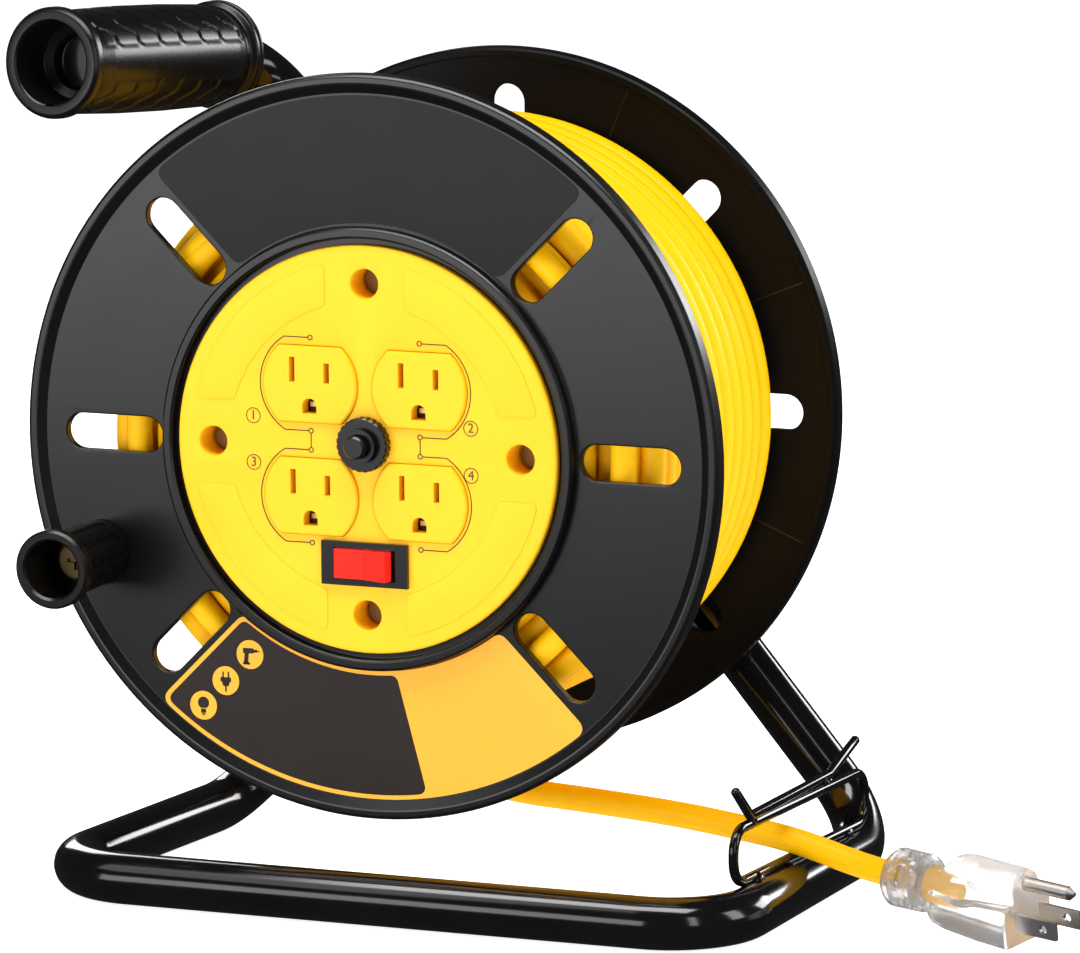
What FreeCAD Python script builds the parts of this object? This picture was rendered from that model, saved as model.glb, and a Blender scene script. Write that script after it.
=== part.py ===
import FreeCAD, Part
import math
import os
import Sketcher

# An extension cord reel: a plastic reel with four outlets in its yellow face turns on a
# bolt that a bent steel tube carries, and the tube is also the foot and the handle.
# Everything is drawn about the reel's own centre: Y runs along the axle towards the back,
# X to the right and Z up, and y = 0 is the front of the reel's rim. Each sub-part's
# Placement then moves it onto the floor. All sizes are millimetres.

os.makedirs("parts", exist_ok=True)
doc = FreeCAD.newDocument("cord_reel")
sheet = doc.addObject("Spreadsheet::Sheet", "sizes")
X, Y, Z = FreeCAD.Vector(1, 0, 0), FreeCAD.Vector(0, 1, 0), FreeCAD.Vector(0, 0, 1)
nodes = {}


class Size:
    """A number that remembers the spreadsheet expression it comes from."""

    def __init__(self, value, text):
        self.value, self.text = value, text

    def __add__(self, other):
        other = size_of(other)
        return Size(self.value + other.value, f"({self.text} + {other.text})")

    def __sub__(self, other):
        other = size_of(other)
        return Size(self.value - other.value, f"({self.text} - {other.text})")

    def __mul__(self, other):
        other = size_of(other)
        return Size(self.value * other.value, f"({self.text} * {other.text})")

    def __truediv__(self, other):
        other = size_of(other)
        return Size(self.value / other.value, f"({self.text} / {other.text})")

    def __neg__(self):
        return Size(-self.value, f"(-1 * {self.text})")

    def __radd__(self, other):
        return size_of(other) + self

    def __rsub__(self, other):
        return size_of(other) - self

    def __rmul__(self, other):
        return size_of(other) * self


def size_of(value):
    """The value as a Size, whether it is one already or a plain number."""
    return value if isinstance(value, Size) else Size(float(value), f"({float(value):.9f})")


class Sizes:
    """The driving dimensions, each one a cell of the sheet with an alias."""

    def __init__(self):
        self.row = 1

    def add(self, **values):
        for alias, value in values.items():
            sheet.set(f"A{self.row}", alias.replace("_", " "))
            sheet.set(f"B{self.row}", str(value))
            sheet.setAlias(f"B{self.row}", alias)
            setattr(self, alias, Size(float(value), f"sizes.{alias}"))
            self.row += 1


# ---------------------------------------------------------------- driving dimensions
dim = Sizes()
dim.add(  # where the reel's centre is over the floor frame's origin
    reel_x=3.7,
    reel_y=-66.5,
    axle_height=162.1,
)
dim.add(  # front flange
    rim_radius=127,
    rim_depth=7,
    rim_lip=3.2,
    rim_bevel=1,
    recess_depth=1.8,
    recess_slope=3,
    flange_wall=3.2,
    hub_ring_outer=75.5,
    hub_ring_inner=72,
    hub_ring_front=-2.2,
    hub_ring_bevel=0.6,
    ledge_radius=64,
    slot_inner=76.3,
    slot_outer=113.5,
    slot_width=12.4,
)
dim.add(  # back flange, drum and the wound cord
    back_rim_radius=122.7,
    back_face=122.5,
    back_rim_depth=7,
    back_slot_outer=110.2,
    boss_radius=16,
    boss_front=92,
    boss_back=132.5,
    boss_collar_radius=30,
    boss_collar_depth=3,
    drum_radius=70,
    drum_wall=2.5,
    cord_diameter=8.9,
    winding_radius=102.3,
    winding_gap=0.2,
    gland_radius=7.5,
    gland_length=5,
    gland_place=112,
)
dim.add(  # axle
    bolt_radius=6,
    bushing_clearance=0.05,
    bushing_radius=10,
    bushing_flange_radius=14,
    bushing_flange_depth=1.4,
    side_play=0.3,
    washer_radius=13,
    washer_depth=1.8,
    head_depth=8,
    head_across=18,
    bolt_end=170,
    nut_depth=10,
    plate_depth=3.1,
    plate_radius=30,
)
dim.add(  # bent tube
    tube_diameter=17.8,
    tube_wall=1.5,
    bend_radius=28,
    foot_drop=153.2,
    foot_front=-6.7,
    foot_left=-119.5,
    foot_right=130,
    rear_left_x=-109,
    rear_left_y=136,
    rear_right_x=128.5,
    upright_plane=148,
    axle_bend_radius=200,
    handle_bend_radius=22,
    handle_x=-110,
    handle_rise=113.3,
)
dim.add(  # handle grip, measured from its back end
    grip_long=107.6,
    grip_front_x=-127.1,
    grip_front_y=22,
    grip_front_rise=123.3,
    grip_rim_radius=19.3,
    grip_rim_width=5,
    grip_neck_radius=16.9,
    grip_belly_radius=18,
    grip_bore_radius=14.3,
    grip_bore_depth=19,
    grip_fit=0.05,
)
dim.add(  # cord guide and plug hook, on the right side of the foot
    wire_diameter=3.5,
    guide_front_x=126,
    guide_back_x=130.3,
    guide_low=-143.2,
    guide_high=-124.8,
    guide_front=15.5,
    guide_back=128,
    guide_corner=8,
    hook_front=28,
    hook_back=101,
    hook_x=127.2,
    hook_seat=-121.8,
    hook_front_reach=18,
    hook_back_reach=24,
    hook_front_rise=12.4,
    hook_back_rise=8.6,
    hook_spread=1.5,
    hook_bend_radius=4,
)
dim.add(  # yellow face plate
    plate_front=-1.2,
    face_radius=69.6,
    face_edge=1,
    screw_circle=56.5,
    well_radius=5.2,
    well_wall=1.4,
    well_floor=12,
    well_end=14,
    post_radius=5.5,
    screw_head_radius=4.2,
    screw_head_depth=2.8,
    screw_shank_radius=1.65,
    screw_length=22,
)
dim.add(  # outlets
    outlet_x=20.05,
    outlet_high=21.4,
    outlet_low=-16.9,
    outlet_radius=17.3,
    outlet_half_height=14.05,
    outlet_front=-2.5,
    outlet_back=9,
    outlet_fit=0.15,
    blade_spacing=12.7,
    blade_rise=4.9,
    slot_thickness=2,
    slot_tall=8.5,
    slot_short=6.9,
    ground_drop=7.3,
    ground_width=5.2,
    socket_depth=9.5,
    cover_half_width=42,
    cover_top=39,
    cover_bottom=-32.4,
    cover_back=26,
    cover_wall=2,
)
dim.add(  # overload breaker and switch
    breaker_rise=2.2,
    breaker_barrel=5.9,
    breaker_front=-7.6,
    breaker_bore=4.2,
    breaker_nut_radius=9.3,
    breaker_nut_front=-5,
    knurl_radius=0.55,
    button_radius=3.9,
    button_front=-11.5,
    button_back=2,
    switch_x=-0.3,
    switch_drop=38.9,
    bezel_length=31.6,
    bezel_height=14.9,
    bezel_front=-2.8,
    switch_length=27.8,
    switch_height=12.2,
    switch_back=16,
    rocker_pocket_length=22.8,
    rocker_pocket_height=10.8,
    rocker_pocket_back=9,
    rocker_half_length=10.2,
    rocker_height=10.1,
    rocker_pivot=0.5,
    rocker_pin_radius=1.2,
    rocker_tilt=9,
)
dim.add(  # crank knob
    knob_x=-100.9,
    knob_drop=41.4,
    knob_base=1.5,
    knob_front=-37,
    knob_radius=11.2,
    knob_lip_radius=13.5,
    knob_bore_radius=9.9,
    knob_bore_floor=-14,
    knob_fit=0.06,
    shoulder_radius=4,
    knob_head_radius=7,
    knob_head_depth=3.4,
    knob_nut_across=11,
    knob_nut_depth=4.4,
    flute_radius=2.4,
    flute_circle=12.9,
)
dim.add(  # labels
    label_inner=76.5,
    label_outer=119.8,
    label_inset=8.5,
    label_depth=0.25,
    label_corner=4,
)
dim.add(  # plug, measured back from the face that the blades stand out of
    plug_x=221.2,
    plug_y=41.3,
    plug_drop=148.1,
    plug_heading=-20,
    plug_dip=2.2,
    plug_roll=8.3,
    plug_half_width=12.3,
    plug_bottom=-12.3,
    plug_top=13.2,
    plug_block=30,
    plug_neck=40,
    relief_end=57.5,
    relief_radius=10.3,
    pin_spacing=11.9,
    blade_drop=3.6,
    blade_length=17.5,
    blade_height=6.35,
    blade_thickness=1.5,
    blade_hole=12.2,
    ground_pin_radius=2.4,
    ground_pin_length=21,
    prong_root=10,
)
doc.recompute()


# ---------------------------------------------------------------- helpers
def bind(thing, prop, size):
    """Sets a property from the sheet."""
    thing.setExpression(prop, size_of(size).text)


def placed(thing, x=0, y=0, z=0):
    """Moves a sub-part to its place on the reel, and with the reel onto the floor."""
    bind(thing, "Placement.Base.x", dim.reel_x + x)
    bind(thing, "Placement.Base.y", dim.reel_y + y)
    bind(thing, "Placement.Base.z", dim.axle_height + z)
    return thing


def named(name, thing):
    """Registers a finished sub-part under the name of its file."""
    thing.Label = name
    nodes[name] = thing
    return thing


def new_body(name):
    return named(name, placed(doc.addObject("PartDesign::Body", name)))


def origin(body, role):
    return next(part for part in body.Origin.OriginFeatures if part.Role == role)


def sketch_on(body, role, offset=0):
    """A sketch on an origin plane of the body, moved along the plane's normal."""
    sketch = body.newObject("Sketcher::SketchObject", f"{body.Name}_sketch")
    sketch.AttachmentSupport = [(origin(body, role), "")]
    sketch.MapMode = "FlatFace"
    bind(sketch, "AttachmentOffset.Base.z", offset)
    return sketch


def front_sketch(body, y=0):
    """A sketch that faces the front, at that depth. Its pads grow towards the front."""
    return sketch_on(body, "XZ_Plane", -size_of(y))


def fix(sketch, kind, geometry, point, size, axis):
    """Holds one coordinate of a point at a size from the sheet."""
    if abs(size.value) < 1e-9:
        sketch.addConstraint(Sketcher.Constraint("PointOnObject", geometry, point, axis))
        return
    at = sketch.addConstraint(Sketcher.Constraint(kind, -1, 1, geometry, point, size.value))
    sketch.setExpression(f"Constraints[{at}]", size.text)


def pin(sketch, geometry, point, x, y):
    fix(sketch, "DistanceX", geometry, point, size_of(x), -2)
    fix(sketch, "DistanceY", geometry, point, size_of(y), -1)


def vector(x, y):
    return FreeCAD.Vector(size_of(x).value, size_of(y).value, 0)


def outline(sketch, corners):
    """A closed outline of straight lines through the corners."""
    count, first = len(corners), sketch.GeometryCount
    for index in range(count):
        start, end = vector(*corners[index]), vector(*corners[(index + 1) % count])
        sketch.addGeometry(Part.LineSegment(start, end), False)
    for index in range(count):
        after = first + (index + 1) % count
        sketch.addConstraint(Sketcher.Constraint("Coincident", first + index, 2, after, 1))
        pin(sketch, first + index, 1, *corners[index])
    return sketch


def rectangle(sketch, x, y, width, height):
    """A rectangle about a centre."""
    x, y, width, height = size_of(x), size_of(y), size_of(width), size_of(height)
    left, right = x - width / 2, x + width / 2
    low, high = y - height / 2, y + height / 2
    return outline(sketch, [(left, low), (right, low), (right, high), (left, high)])


def circle(sketch, radius, x=0, y=0):
    radius = size_of(radius)
    shape = Part.Circle(vector(x, y), Z, radius.value)
    at = sketch.addGeometry(shape, False)
    pin(sketch, at, 3, x, y)
    rule = sketch.addConstraint(Sketcher.Constraint("Radius", at, radius.value))
    sketch.setExpression(f"Constraints[{rule}]", radius.text)
    return sketch


def hexagon(sketch, across, x=0, y=0):
    """A hexagon of that width across its flats."""
    reach = size_of(across) / math.sqrt(3)
    turns = [math.radians(60 * index) for index in range(6)]
    corners = [(x + reach * math.cos(turn), y + reach * math.sin(turn)) for turn in turns]
    return outline(sketch, corners)


def arc_point(sketch, centre, radius, start, end, ends):
    """An arc from one angle to another, held by its radius and the x of its two ends."""
    base = Part.Circle(vector(*centre), Z, radius.value)
    at = sketch.addGeometry(Part.ArcOfCircle(base, start, end), False)
    pin(sketch, at, 3, *centre)
    rule = sketch.addConstraint(Sketcher.Constraint("Radius", at, radius.value))
    sketch.setExpression(f"Constraints[{rule}]", radius.text)
    for point, x in zip((1, 2), ends):
        fix(sketch, "DistanceX", at, point, size_of(x), -2)
    return at


def slot(sketch, inner, outer, width):
    """A slot with round ends that runs along the sketch's X from inner to outer."""
    radius = width / 2
    near, far = inner + radius, outer - radius
    quarter = math.pi / 2
    shapes = [
        Part.ArcOfCircle(Part.Circle(vector(near, 0), Z, radius.value), quarter, 3 * quarter),
        Part.LineSegment(vector(near, -radius), vector(far, -radius)),
        Part.ArcOfCircle(Part.Circle(vector(far, 0), Z, radius.value), -quarter, quarter),
        Part.LineSegment(vector(far, radius), vector(near, radius)),
    ]
    for shape in shapes:
        sketch.addGeometry(shape, False)
    for index in range(4):
        after = (index + 1) % 4
        sketch.addConstraint(Sketcher.Constraint("Tangent", index, 2, after, 1))
    sketch.addConstraint(Sketcher.Constraint("Equal", 0, 2))
    rule = sketch.addConstraint(Sketcher.Constraint("Radius", 0, radius.value))
    sketch.setExpression(f"Constraints[{rule}]", radius.text)
    pin(sketch, 0, 3, near, 0)
    pin(sketch, 2, 3, far, 0)
    return sketch


def flat_circle(sketch, radius, half_height, x, y):
    """A circle with its top and bottom cut flat, which is the face of an outlet."""
    x, y = size_of(x), size_of(y)
    lean = math.asin(half_height.value / radius.value)
    half_width = Size(
        radius.value * math.cos(lean),
        f"sqrt({radius.text} * {radius.text} - {half_height.text} * {half_height.text})",
    )
    right, left = x + half_width, x - half_width
    first = arc_point(sketch, (x, y), radius, -lean, lean, (right, right))
    second = arc_point(sketch, (x, y), radius, math.pi - lean, math.pi + lean, (left, left))
    top = Part.LineSegment(vector(right, y + half_height), vector(left, y + half_height))
    low = Part.LineSegment(vector(left, y - half_height), vector(right, y - half_height))
    third = sketch.addGeometry(top, False)
    fourth = sketch.addGeometry(low, False)
    chain = [(first, 2, third, 1), (third, 2, second, 1), (second, 2, fourth, 1), (fourth, 2, first, 1)]
    for link in chain:
        sketch.addConstraint(Sketcher.Constraint("Coincident", *link))
    return sketch


def feature(body, kind, sketch, length=None, **settings):
    """A feature of the body on a sketch, recomputed so that the next one can use it."""
    made = body.newObject(f"PartDesign::{kind}", f"{body.Name}_{kind.lower()}")
    made.Profile = sketch
    if length is not None:
        bind(made, "Length", length)
    for prop, value in settings.items():
        setattr(made, prop, value)
    sketch.Visibility = False
    doc.recompute()
    return made


def pad(body, sketch, length, **settings):
    return feature(body, "Pad", sketch, length, **settings)


def pocket(body, sketch, depth, **settings):
    """Cuts a pocket, and checks that it did take something away."""
    before = body.Shape.Volume
    made = feature(body, "Pocket", sketch, depth, **settings)
    assert body.Shape.Volume < before - 1e-6, f"{made.Label} cuts nothing"
    return made


def turn(body, corners, axis="V_Axis"):
    """Turns an outline about the body's Y axis, or about its X axis with H_Axis."""
    sketch = outline(sketch_on(body, "XY_Plane"), corners)
    made = body.newObject("PartDesign::Revolution", f"{body.Name}_turn")
    made.Profile = sketch
    made.ReferenceAxis = (sketch, [axis])
    made.Angle = 360
    doc.recompute()
    return made


def turned(name, corners, axis="V_Axis"):
    """A turned sub-part: its outline's corners are (radius, depth) pairs."""
    body = new_body(name)
    turn(body, corners, axis)
    return body


def ring(name, outer, inner, start, end):
    """A plain ring or washer about the axle."""
    return turned(name, [(inner, start), (outer, start), (outer, end), (inner, end)])


def around(body, made, count, role="Y_Axis"):
    """Repeats a feature evenly around an axis of the body."""
    pattern = body.newObject("PartDesign::PolarPattern", f"{made.Name}_pattern")
    pattern.Originals = [made]
    pattern.Axis = (origin(body, role), [""])
    pattern.Angle = 360
    pattern.Occurrences = count
    body.Tip = pattern
    doc.recompute()
    return pattern


def rounded(body, radius, wanted):
    """Rounds the edges of the body's last feature that pass the test."""
    edges = [f"Edge{n + 1}" for n, edge in enumerate(body.Tip.Shape.Edges) if wanted(edge)]
    assert edges, f"no edge to round on {body.Label}"
    made = body.newObject("PartDesign::Fillet", f"{body.Name}_fillet")
    made.Base = (body.Tip if body.Tip != made else made.BaseFeature, edges)
    bind(made, "Radius", radius)
    doc.recompute()
    return made


def runs_along(direction):
    """A test for straight edges that run along a direction."""

    def test(edge):
        ends = [vertex.Point for vertex in edge.Vertexes]
        straight = len(ends) == 2 and edge.Curve.TypeId == "Part::GeomLine"
        return straight and abs((ends[1] - ends[0]).normalize().dot(direction)) > 0.999

    return test


def box(name, low, high):
    """A Part::Box between two corners."""
    made = doc.addObject("Part::Box", name)
    for prop, axis, start, end in zip(("Length", "Width", "Height"), "xyz", low, high):
        bind(made, prop, size_of(end) - start)
        bind(made, f"Placement.Base.{axis}", start)
    return made


def rod(name, radius, length, x, y, z, along=Y):
    """A Part::Cylinder that starts at a point and runs along an axis."""
    made = doc.addObject("Part::Cylinder", name)
    made.Placement.Rotation = FreeCAD.Rotation(Z, along)
    bind(made, "Radius", radius)
    bind(made, "Height", length)
    for axis, start in zip("xyz", (x, y, z)):
        bind(made, f"Placement.Base.{axis}", start)
    return made


def joined(name, kind, base, tool):
    made = doc.addObject(f"Part::{kind}", name)
    made.Base, made.Tool = base, tool
    return made


def group(name, parts):
    """Separate solids that share one node."""
    made = doc.addObject("Part::Compound", name)
    made.Links = parts
    return named(name, placed(made))


def point(x, y, z):
    return FreeCAD.Vector(*(size_of(value).value for value in (x, y, z)))


def route(points, radii):
    """A wire of straight runs joined by tangent arcs, and the radii it used."""
    edges, here = [], points[0]
    for index in range(1, len(points) - 1):
        before = (points[index] - points[index - 1]).normalize()
        after = (points[index + 1] - points[index]).normalize()
        half = before.getAngle(after) / 2
        back = radii[index - 1] * math.tan(half)
        start, end = points[index] - before * back, points[index] + after * back
        inward = (after - before).normalize()
        middle = points[index] + inward * (radii[index - 1] * (1 / math.cos(half) - 1))
        if (start - here).Length > 1e-6:
            edges.append(Part.LineSegment(here, start).toShape())
        edges.append(Part.Arc(start, middle, end).toShape())
        here = end
    edges.append(Part.LineSegment(here, points[-1]).toShape())
    return Part.Wire(edges)


def swept(path, radius):
    """A solid rod of that radius along a wire."""
    edge = path.Edges[0]
    start = edge.valueAt(edge.FirstParameter)
    along = edge.tangentAt(edge.FirstParameter)
    profile = Part.Wire([Part.Circle(start, along, radius).toShape()])
    return path.makePipeShell([profile], True, False)


def shaped(name, shape):
    """A sub-part whose shape is worked out here from the sheet's sizes."""
    made = doc.addObject("Part::Feature", name)
    made.Shape = shape
    return named(name, placed(made))


def bent_tube(points, radii):
    """A length of the frame's steel tube, open at both ends."""
    path = route(points, radii)
    outer = dim.tube_diameter.value / 2
    return swept(path, outer).cut(swept(path, outer - dim.tube_wall.value))


# ---------------------------------------------------------------- frame
tube_radius = dim.tube_diameter / 2
upright_front = dim.upright_plane - tube_radius
foot_level = -dim.foot_drop
seam = dim.bend_radius + 2
axle_point = point(0, dim.upright_plane, 0)
left_front_corner = point(dim.foot_left, dim.foot_front, foot_level)
right_front_corner = point(dim.foot_right, dim.foot_front, foot_level)
left_rear_corner = point(dim.rear_left_x, dim.rear_left_y, foot_level)
right_rear_corner = point(dim.rear_right_x, dim.upright_plane, foot_level)
left_bar = (left_front_corner - left_rear_corner).normalize()
right_bar = (right_front_corner - right_rear_corner).normalize()
handle_corner = point(dim.handle_x, dim.upright_plane, dim.handle_rise)
grip_front = point(dim.grip_front_x, dim.grip_front_y, dim.grip_front_rise)
grip_direction = (grip_front - handle_corner).normalize()
grip_back = grip_front - grip_direction * dim.grip_long.value
left_seam = left_rear_corner + left_bar * seam.value
right_seam = right_rear_corner + right_bar * seam.value
axle_hole = Part.makeCylinder(dim.bolt_radius.value + 0.1, 40, axle_point - Y * 20, Y)


def make_foot():
    """The front bar and the two side bars that the reel stands on."""
    corners = [left_seam, left_front_corner, right_front_corner, right_seam]
    shaped("frame_foot", bent_tube(corners, [dim.bend_radius.value] * 2))


def make_main_strut():
    """The diagonal that carries the axle, from the right rear corner to the handle."""
    end = grip_front - grip_direction * (dim.grip_bore_depth.value + 1)
    points = [right_seam, right_rear_corner, axle_point, handle_corner, end]
    bends = [dim.bend_radius.value, dim.axle_bend_radius.value, dim.handle_bend_radius.value]
    strut = bent_tube(points, bends).cut(axle_hole)
    shaped("main_strut", strut)


def make_side_strut():
    """The left upright, whose end is coped to fit the diagonal."""
    tube = bent_tube([left_seam, left_rear_corner, axle_point], [dim.bend_radius.value])
    for end in (handle_corner, right_rear_corner):
        along = (end - axle_point).normalize()
        start = axle_point - along * 10
        tube = tube.cut(Part.makeCylinder(tube_radius.value + 0.02, 80, start, along))
    plate_end = point(0, upright_front, 0)
    plate_room = Part.makeCylinder(dim.plate_radius.value + 0.2, 30, plate_end - Y * 30, Y)
    pieces = tube.cut(plate_room).cut(axle_hole).Solids
    shaped("side_strut", max(pieces, key=lambda piece: piece.Volume))


def make_grip():
    """The moulded sleeve on the end of the tube, open towards the front."""
    body = new_body("handle_grip")
    long = dim.grip_long
    rim, neck, width = dim.grip_rim_radius, dim.grip_neck_radius, dim.grip_rim_width
    bore = tube_radius + dim.grip_fit
    front = -long
    corners = [
        (bore, 0),
        (rim - 1.5, 0),
        (rim, -1.5),
        (rim, -width + 1.5),
        (neck, -width),
        (dim.grip_belly_radius, -long / 3),
        (dim.grip_belly_radius, -long / 1.5),
        (neck, front + width),
        (rim, front + width - 1.5),
        (rim, front + 1.5),
        (rim - 1.5, front),
        (dim.grip_bore_radius, front),
        (dim.grip_bore_radius, front + dim.grip_bore_depth),
        (bore, front + dim.grip_bore_depth),
    ]
    turn(body, corners)
    placed(body, grip_back.x, grip_back.y, grip_back.z)
    body.Placement.Rotation = FreeCAD.Rotation(-Y, grip_direction)


def make_guide():
    """A closed wire loop for the cord and an open hook for the plug, on the right bar."""
    radius = dim.wire_diameter.value / 2
    low, high, front, back = dim.guide_low, dim.guide_high, dim.guide_front, dim.guide_back
    near, far = dim.guide_front_x, dim.guide_back_x
    middle = point((near + far) / 2, (front + back) / 2, low)
    loop = [
        middle,
        point(far, back, low),
        point(far, back, high),
        point(near, front, high),
        point(near, front, low),
        middle,
    ]
    wire = swept(route(loop, [dim.guide_corner.value] * 4), radius)
    bar_end = right_rear_corner - right_bar * 10
    foot_bar = Part.makeCylinder(tube_radius.value, 170, bar_end, right_bar)
    shaped("cord_guide", wire.cut(foot_bar))
    seat, x, spread = dim.hook_seat, dim.hook_x, dim.hook_spread
    front, back = dim.hook_front, dim.hook_back
    hook = [
        point(x + spread, front - dim.hook_front_reach, seat + dim.hook_front_rise),
        point(x, front, seat),
        point(x, back, seat),
        point(x + spread, back + dim.hook_back_reach, seat + dim.hook_back_rise),
    ]
    hook_wire = swept(route(hook, [dim.hook_bend_radius.value] * 2), radius)
    shaped("plug_hook", hook_wire.cut(wire))


# ---------------------------------------------------------------- axle
plate_front_face = upright_front - dim.plate_depth
bushing_back = dim.boss_back + dim.bushing_flange_depth
bushing_front = dim.boss_front - 1.4
head_washer_front = bushing_front - dim.side_play - dim.washer_depth


def make_axle():
    """The bolt that the reel turns on, and what holds it to the diagonal."""
    ring("axle_plate", dim.plate_radius, dim.bolt_radius, plate_front_face, upright_front)
    spacer_front = bushing_back + dim.side_play
    ring("thrust_washer", dim.washer_radius, dim.bolt_radius, spacer_front, plate_front_face)
    washer_end = head_washer_front + dim.washer_depth
    ring("head_washer", dim.washer_radius, dim.bolt_radius, head_washer_front, washer_end)
    lock_front = dim.upright_plane + tube_radius
    lock_back = lock_front + dim.washer_depth
    ring("lock_washer", dim.washer_radius, dim.bolt_radius, lock_front, lock_back)
    bolt = new_body("axle_bolt")
    shank = circle(front_sketch(bolt, dim.bolt_end), dim.bolt_radius)
    pad(bolt, shank, dim.bolt_end - head_washer_front)
    pad(bolt, hexagon(front_sketch(bolt, head_washer_front), dim.head_across), dim.head_depth)
    nut = new_body("axle_nut")
    sketch = hexagon(front_sketch(nut, lock_back + dim.nut_depth), dim.head_across)
    pad(nut, circle(sketch, dim.bolt_radius), dim.nut_depth)
    bore = dim.bolt_radius + dim.bushing_clearance
    corners = [
        (bore, bushing_front),
        (dim.bushing_radius, bushing_front),
        (dim.bushing_radius, dim.boss_back),
        (dim.bushing_flange_radius, dim.boss_back),
        (dim.bushing_flange_radius, bushing_back),
        (bore, bushing_back),
    ]
    turned("hub_bushing", corners)


# ---------------------------------------------------------------- reel
flange_back = dim.recess_depth + dim.flange_wall


def cut_slots(body, count, turned_by, inner, outer, y, depth):
    """Radial slots in a flange, evenly spaced from a starting angle."""
    sketch = slot(front_sketch(body, y), inner, outer, dim.slot_width)
    sketch.AttachmentOffset.Rotation = FreeCAD.Rotation(Z, turned_by)
    around(body, pocket(body, sketch, depth), count)


def make_front_flange():
    rim, bevel, lip = dim.rim_radius, dim.rim_bevel, dim.rim_radius - dim.rim_lip
    face, ring_front, edge = dim.recess_depth, dim.hub_ring_front, dim.hub_ring_bevel
    corners = [
        (dim.ledge_radius, face),
        (dim.hub_ring_inner, face),
        (dim.hub_ring_inner, ring_front + edge),
        (dim.hub_ring_inner + edge, ring_front),
        (dim.hub_ring_outer - edge, ring_front),
        (dim.hub_ring_outer, ring_front + edge),
        (dim.hub_ring_outer, face),
        (lip - dim.recess_slope, face),
        (lip, 0),
        (rim - bevel, 0),
        (rim, bevel),
        (rim, dim.rim_depth - bevel),
        (rim - bevel, dim.rim_depth),
        (lip, dim.rim_depth),
        (lip, flange_back),
        (dim.ledge_radius, flange_back),
    ]
    body = turned("front_flange", corners)
    through = dim.flange_wall + 4
    start = face - 2
    cut_slots(body, 2, 0, dim.slot_inner, dim.slot_outer, start, through)
    cut_slots(body, 4, 45, dim.slot_inner, dim.slot_outer, start, through)
    hole = circle(front_sketch(body, start), dim.shoulder_radius, dim.knob_x, -dim.knob_drop)
    pocket(body, hole, through)


def make_back_flange():
    rim, bevel, lip = dim.back_rim_radius, dim.rim_bevel, dim.back_rim_radius - dim.rim_lip
    face = dim.back_face
    back = face + dim.flange_wall
    rim_front = face - 1
    rim_back = rim_front + dim.back_rim_depth
    corners = [
        (dim.boss_radius + 0.2, face),
        (lip, face),
        (lip, rim_front),
        (rim - bevel, rim_front),
        (rim, rim_front + bevel),
        (rim, rim_back - bevel),
        (rim - bevel, rim_back),
        (lip, rim_back),
        (lip - dim.recess_slope, back),
        (dim.boss_radius + 0.2, back),
    ]
    body = turned("back_flange", corners)
    cut_slots(body, 8, 0, dim.slot_inner, dim.back_slot_outer, face - 2, dim.flange_wall + 4)


def make_hub():
    """The boss that the bushing sits in, its collar against the back flange."""
    face, collar = dim.back_face, dim.back_face - dim.boss_collar_depth
    corners = [
        (dim.bushing_radius, dim.boss_front),
        (dim.boss_radius, dim.boss_front),
        (dim.boss_radius, collar),
        (dim.boss_collar_radius, collar),
        (dim.boss_collar_radius, face),
        (dim.boss_radius, face),
        (dim.boss_radius, dim.boss_back),
        (dim.bushing_radius, dim.boss_back),
    ]
    turned("hub_boss", corners)


def make_drum():
    inner = dim.drum_radius - dim.drum_wall
    body = ring("drum_shell", dim.drum_radius, inner, flange_back, dim.back_face)
    sketch = circle(sketch_on(body, "XY_Plane", 50), dim.gland_radius, 0, dim.gland_place)
    pocket(body, sketch, 50, Reversed=True)
    gland = new_body("cord_gland")
    start = inner - dim.gland_length
    sketch = circle(sketch_on(gland, "XY_Plane", start), dim.gland_radius, 0, dim.gland_place)
    circle(sketch, dim.cord_diameter / 2, 0, dim.gland_place)
    pad(gland, sketch, dim.gland_length + 2)
    gap = dim.winding_gap
    start, end = flange_back + gap, dim.back_face - gap
    ring("cord_winding", dim.winding_radius, dim.drum_radius + gap, start, end)


def make_screws():
    """Four posts inside the drum, and the screws that pull the face plate onto them."""
    posts, screws = [], []
    for index in range(4):
        angle = math.radians(90 * index)
        x, z = dim.screw_circle * math.cos(angle), dim.screw_circle * math.sin(angle)
        long = dim.back_face - dim.well_end
        post = rod(f"post_{index}", dim.post_radius, long, x, dim.well_end, z)
        pilot_radius = dim.screw_shank_radius + 0.05
        pilot = rod(f"pilot_{index}", pilot_radius, dim.screw_length, x, dim.well_end, z)
        posts.append(joined(f"drilled_post_{index}", "Cut", post, pilot))
        head_front = dim.well_floor - dim.screw_head_depth
        head = rod(f"head_{index}", dim.screw_head_radius, dim.screw_head_depth, x, head_front, z)
        shank = rod(
            f"shank_{index}", dim.screw_shank_radius, dim.screw_length, x, dim.well_floor, z
        )
        screws.append(joined(f"screw_{index}", "Fuse", head, shank))
    group("screw_posts", posts)
    group("face_plate_screws", screws)


outlets = [(-1, dim.outlet_high), (1, dim.outlet_high), (-1, dim.outlet_low), (1, dim.outlet_low)]


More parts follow.
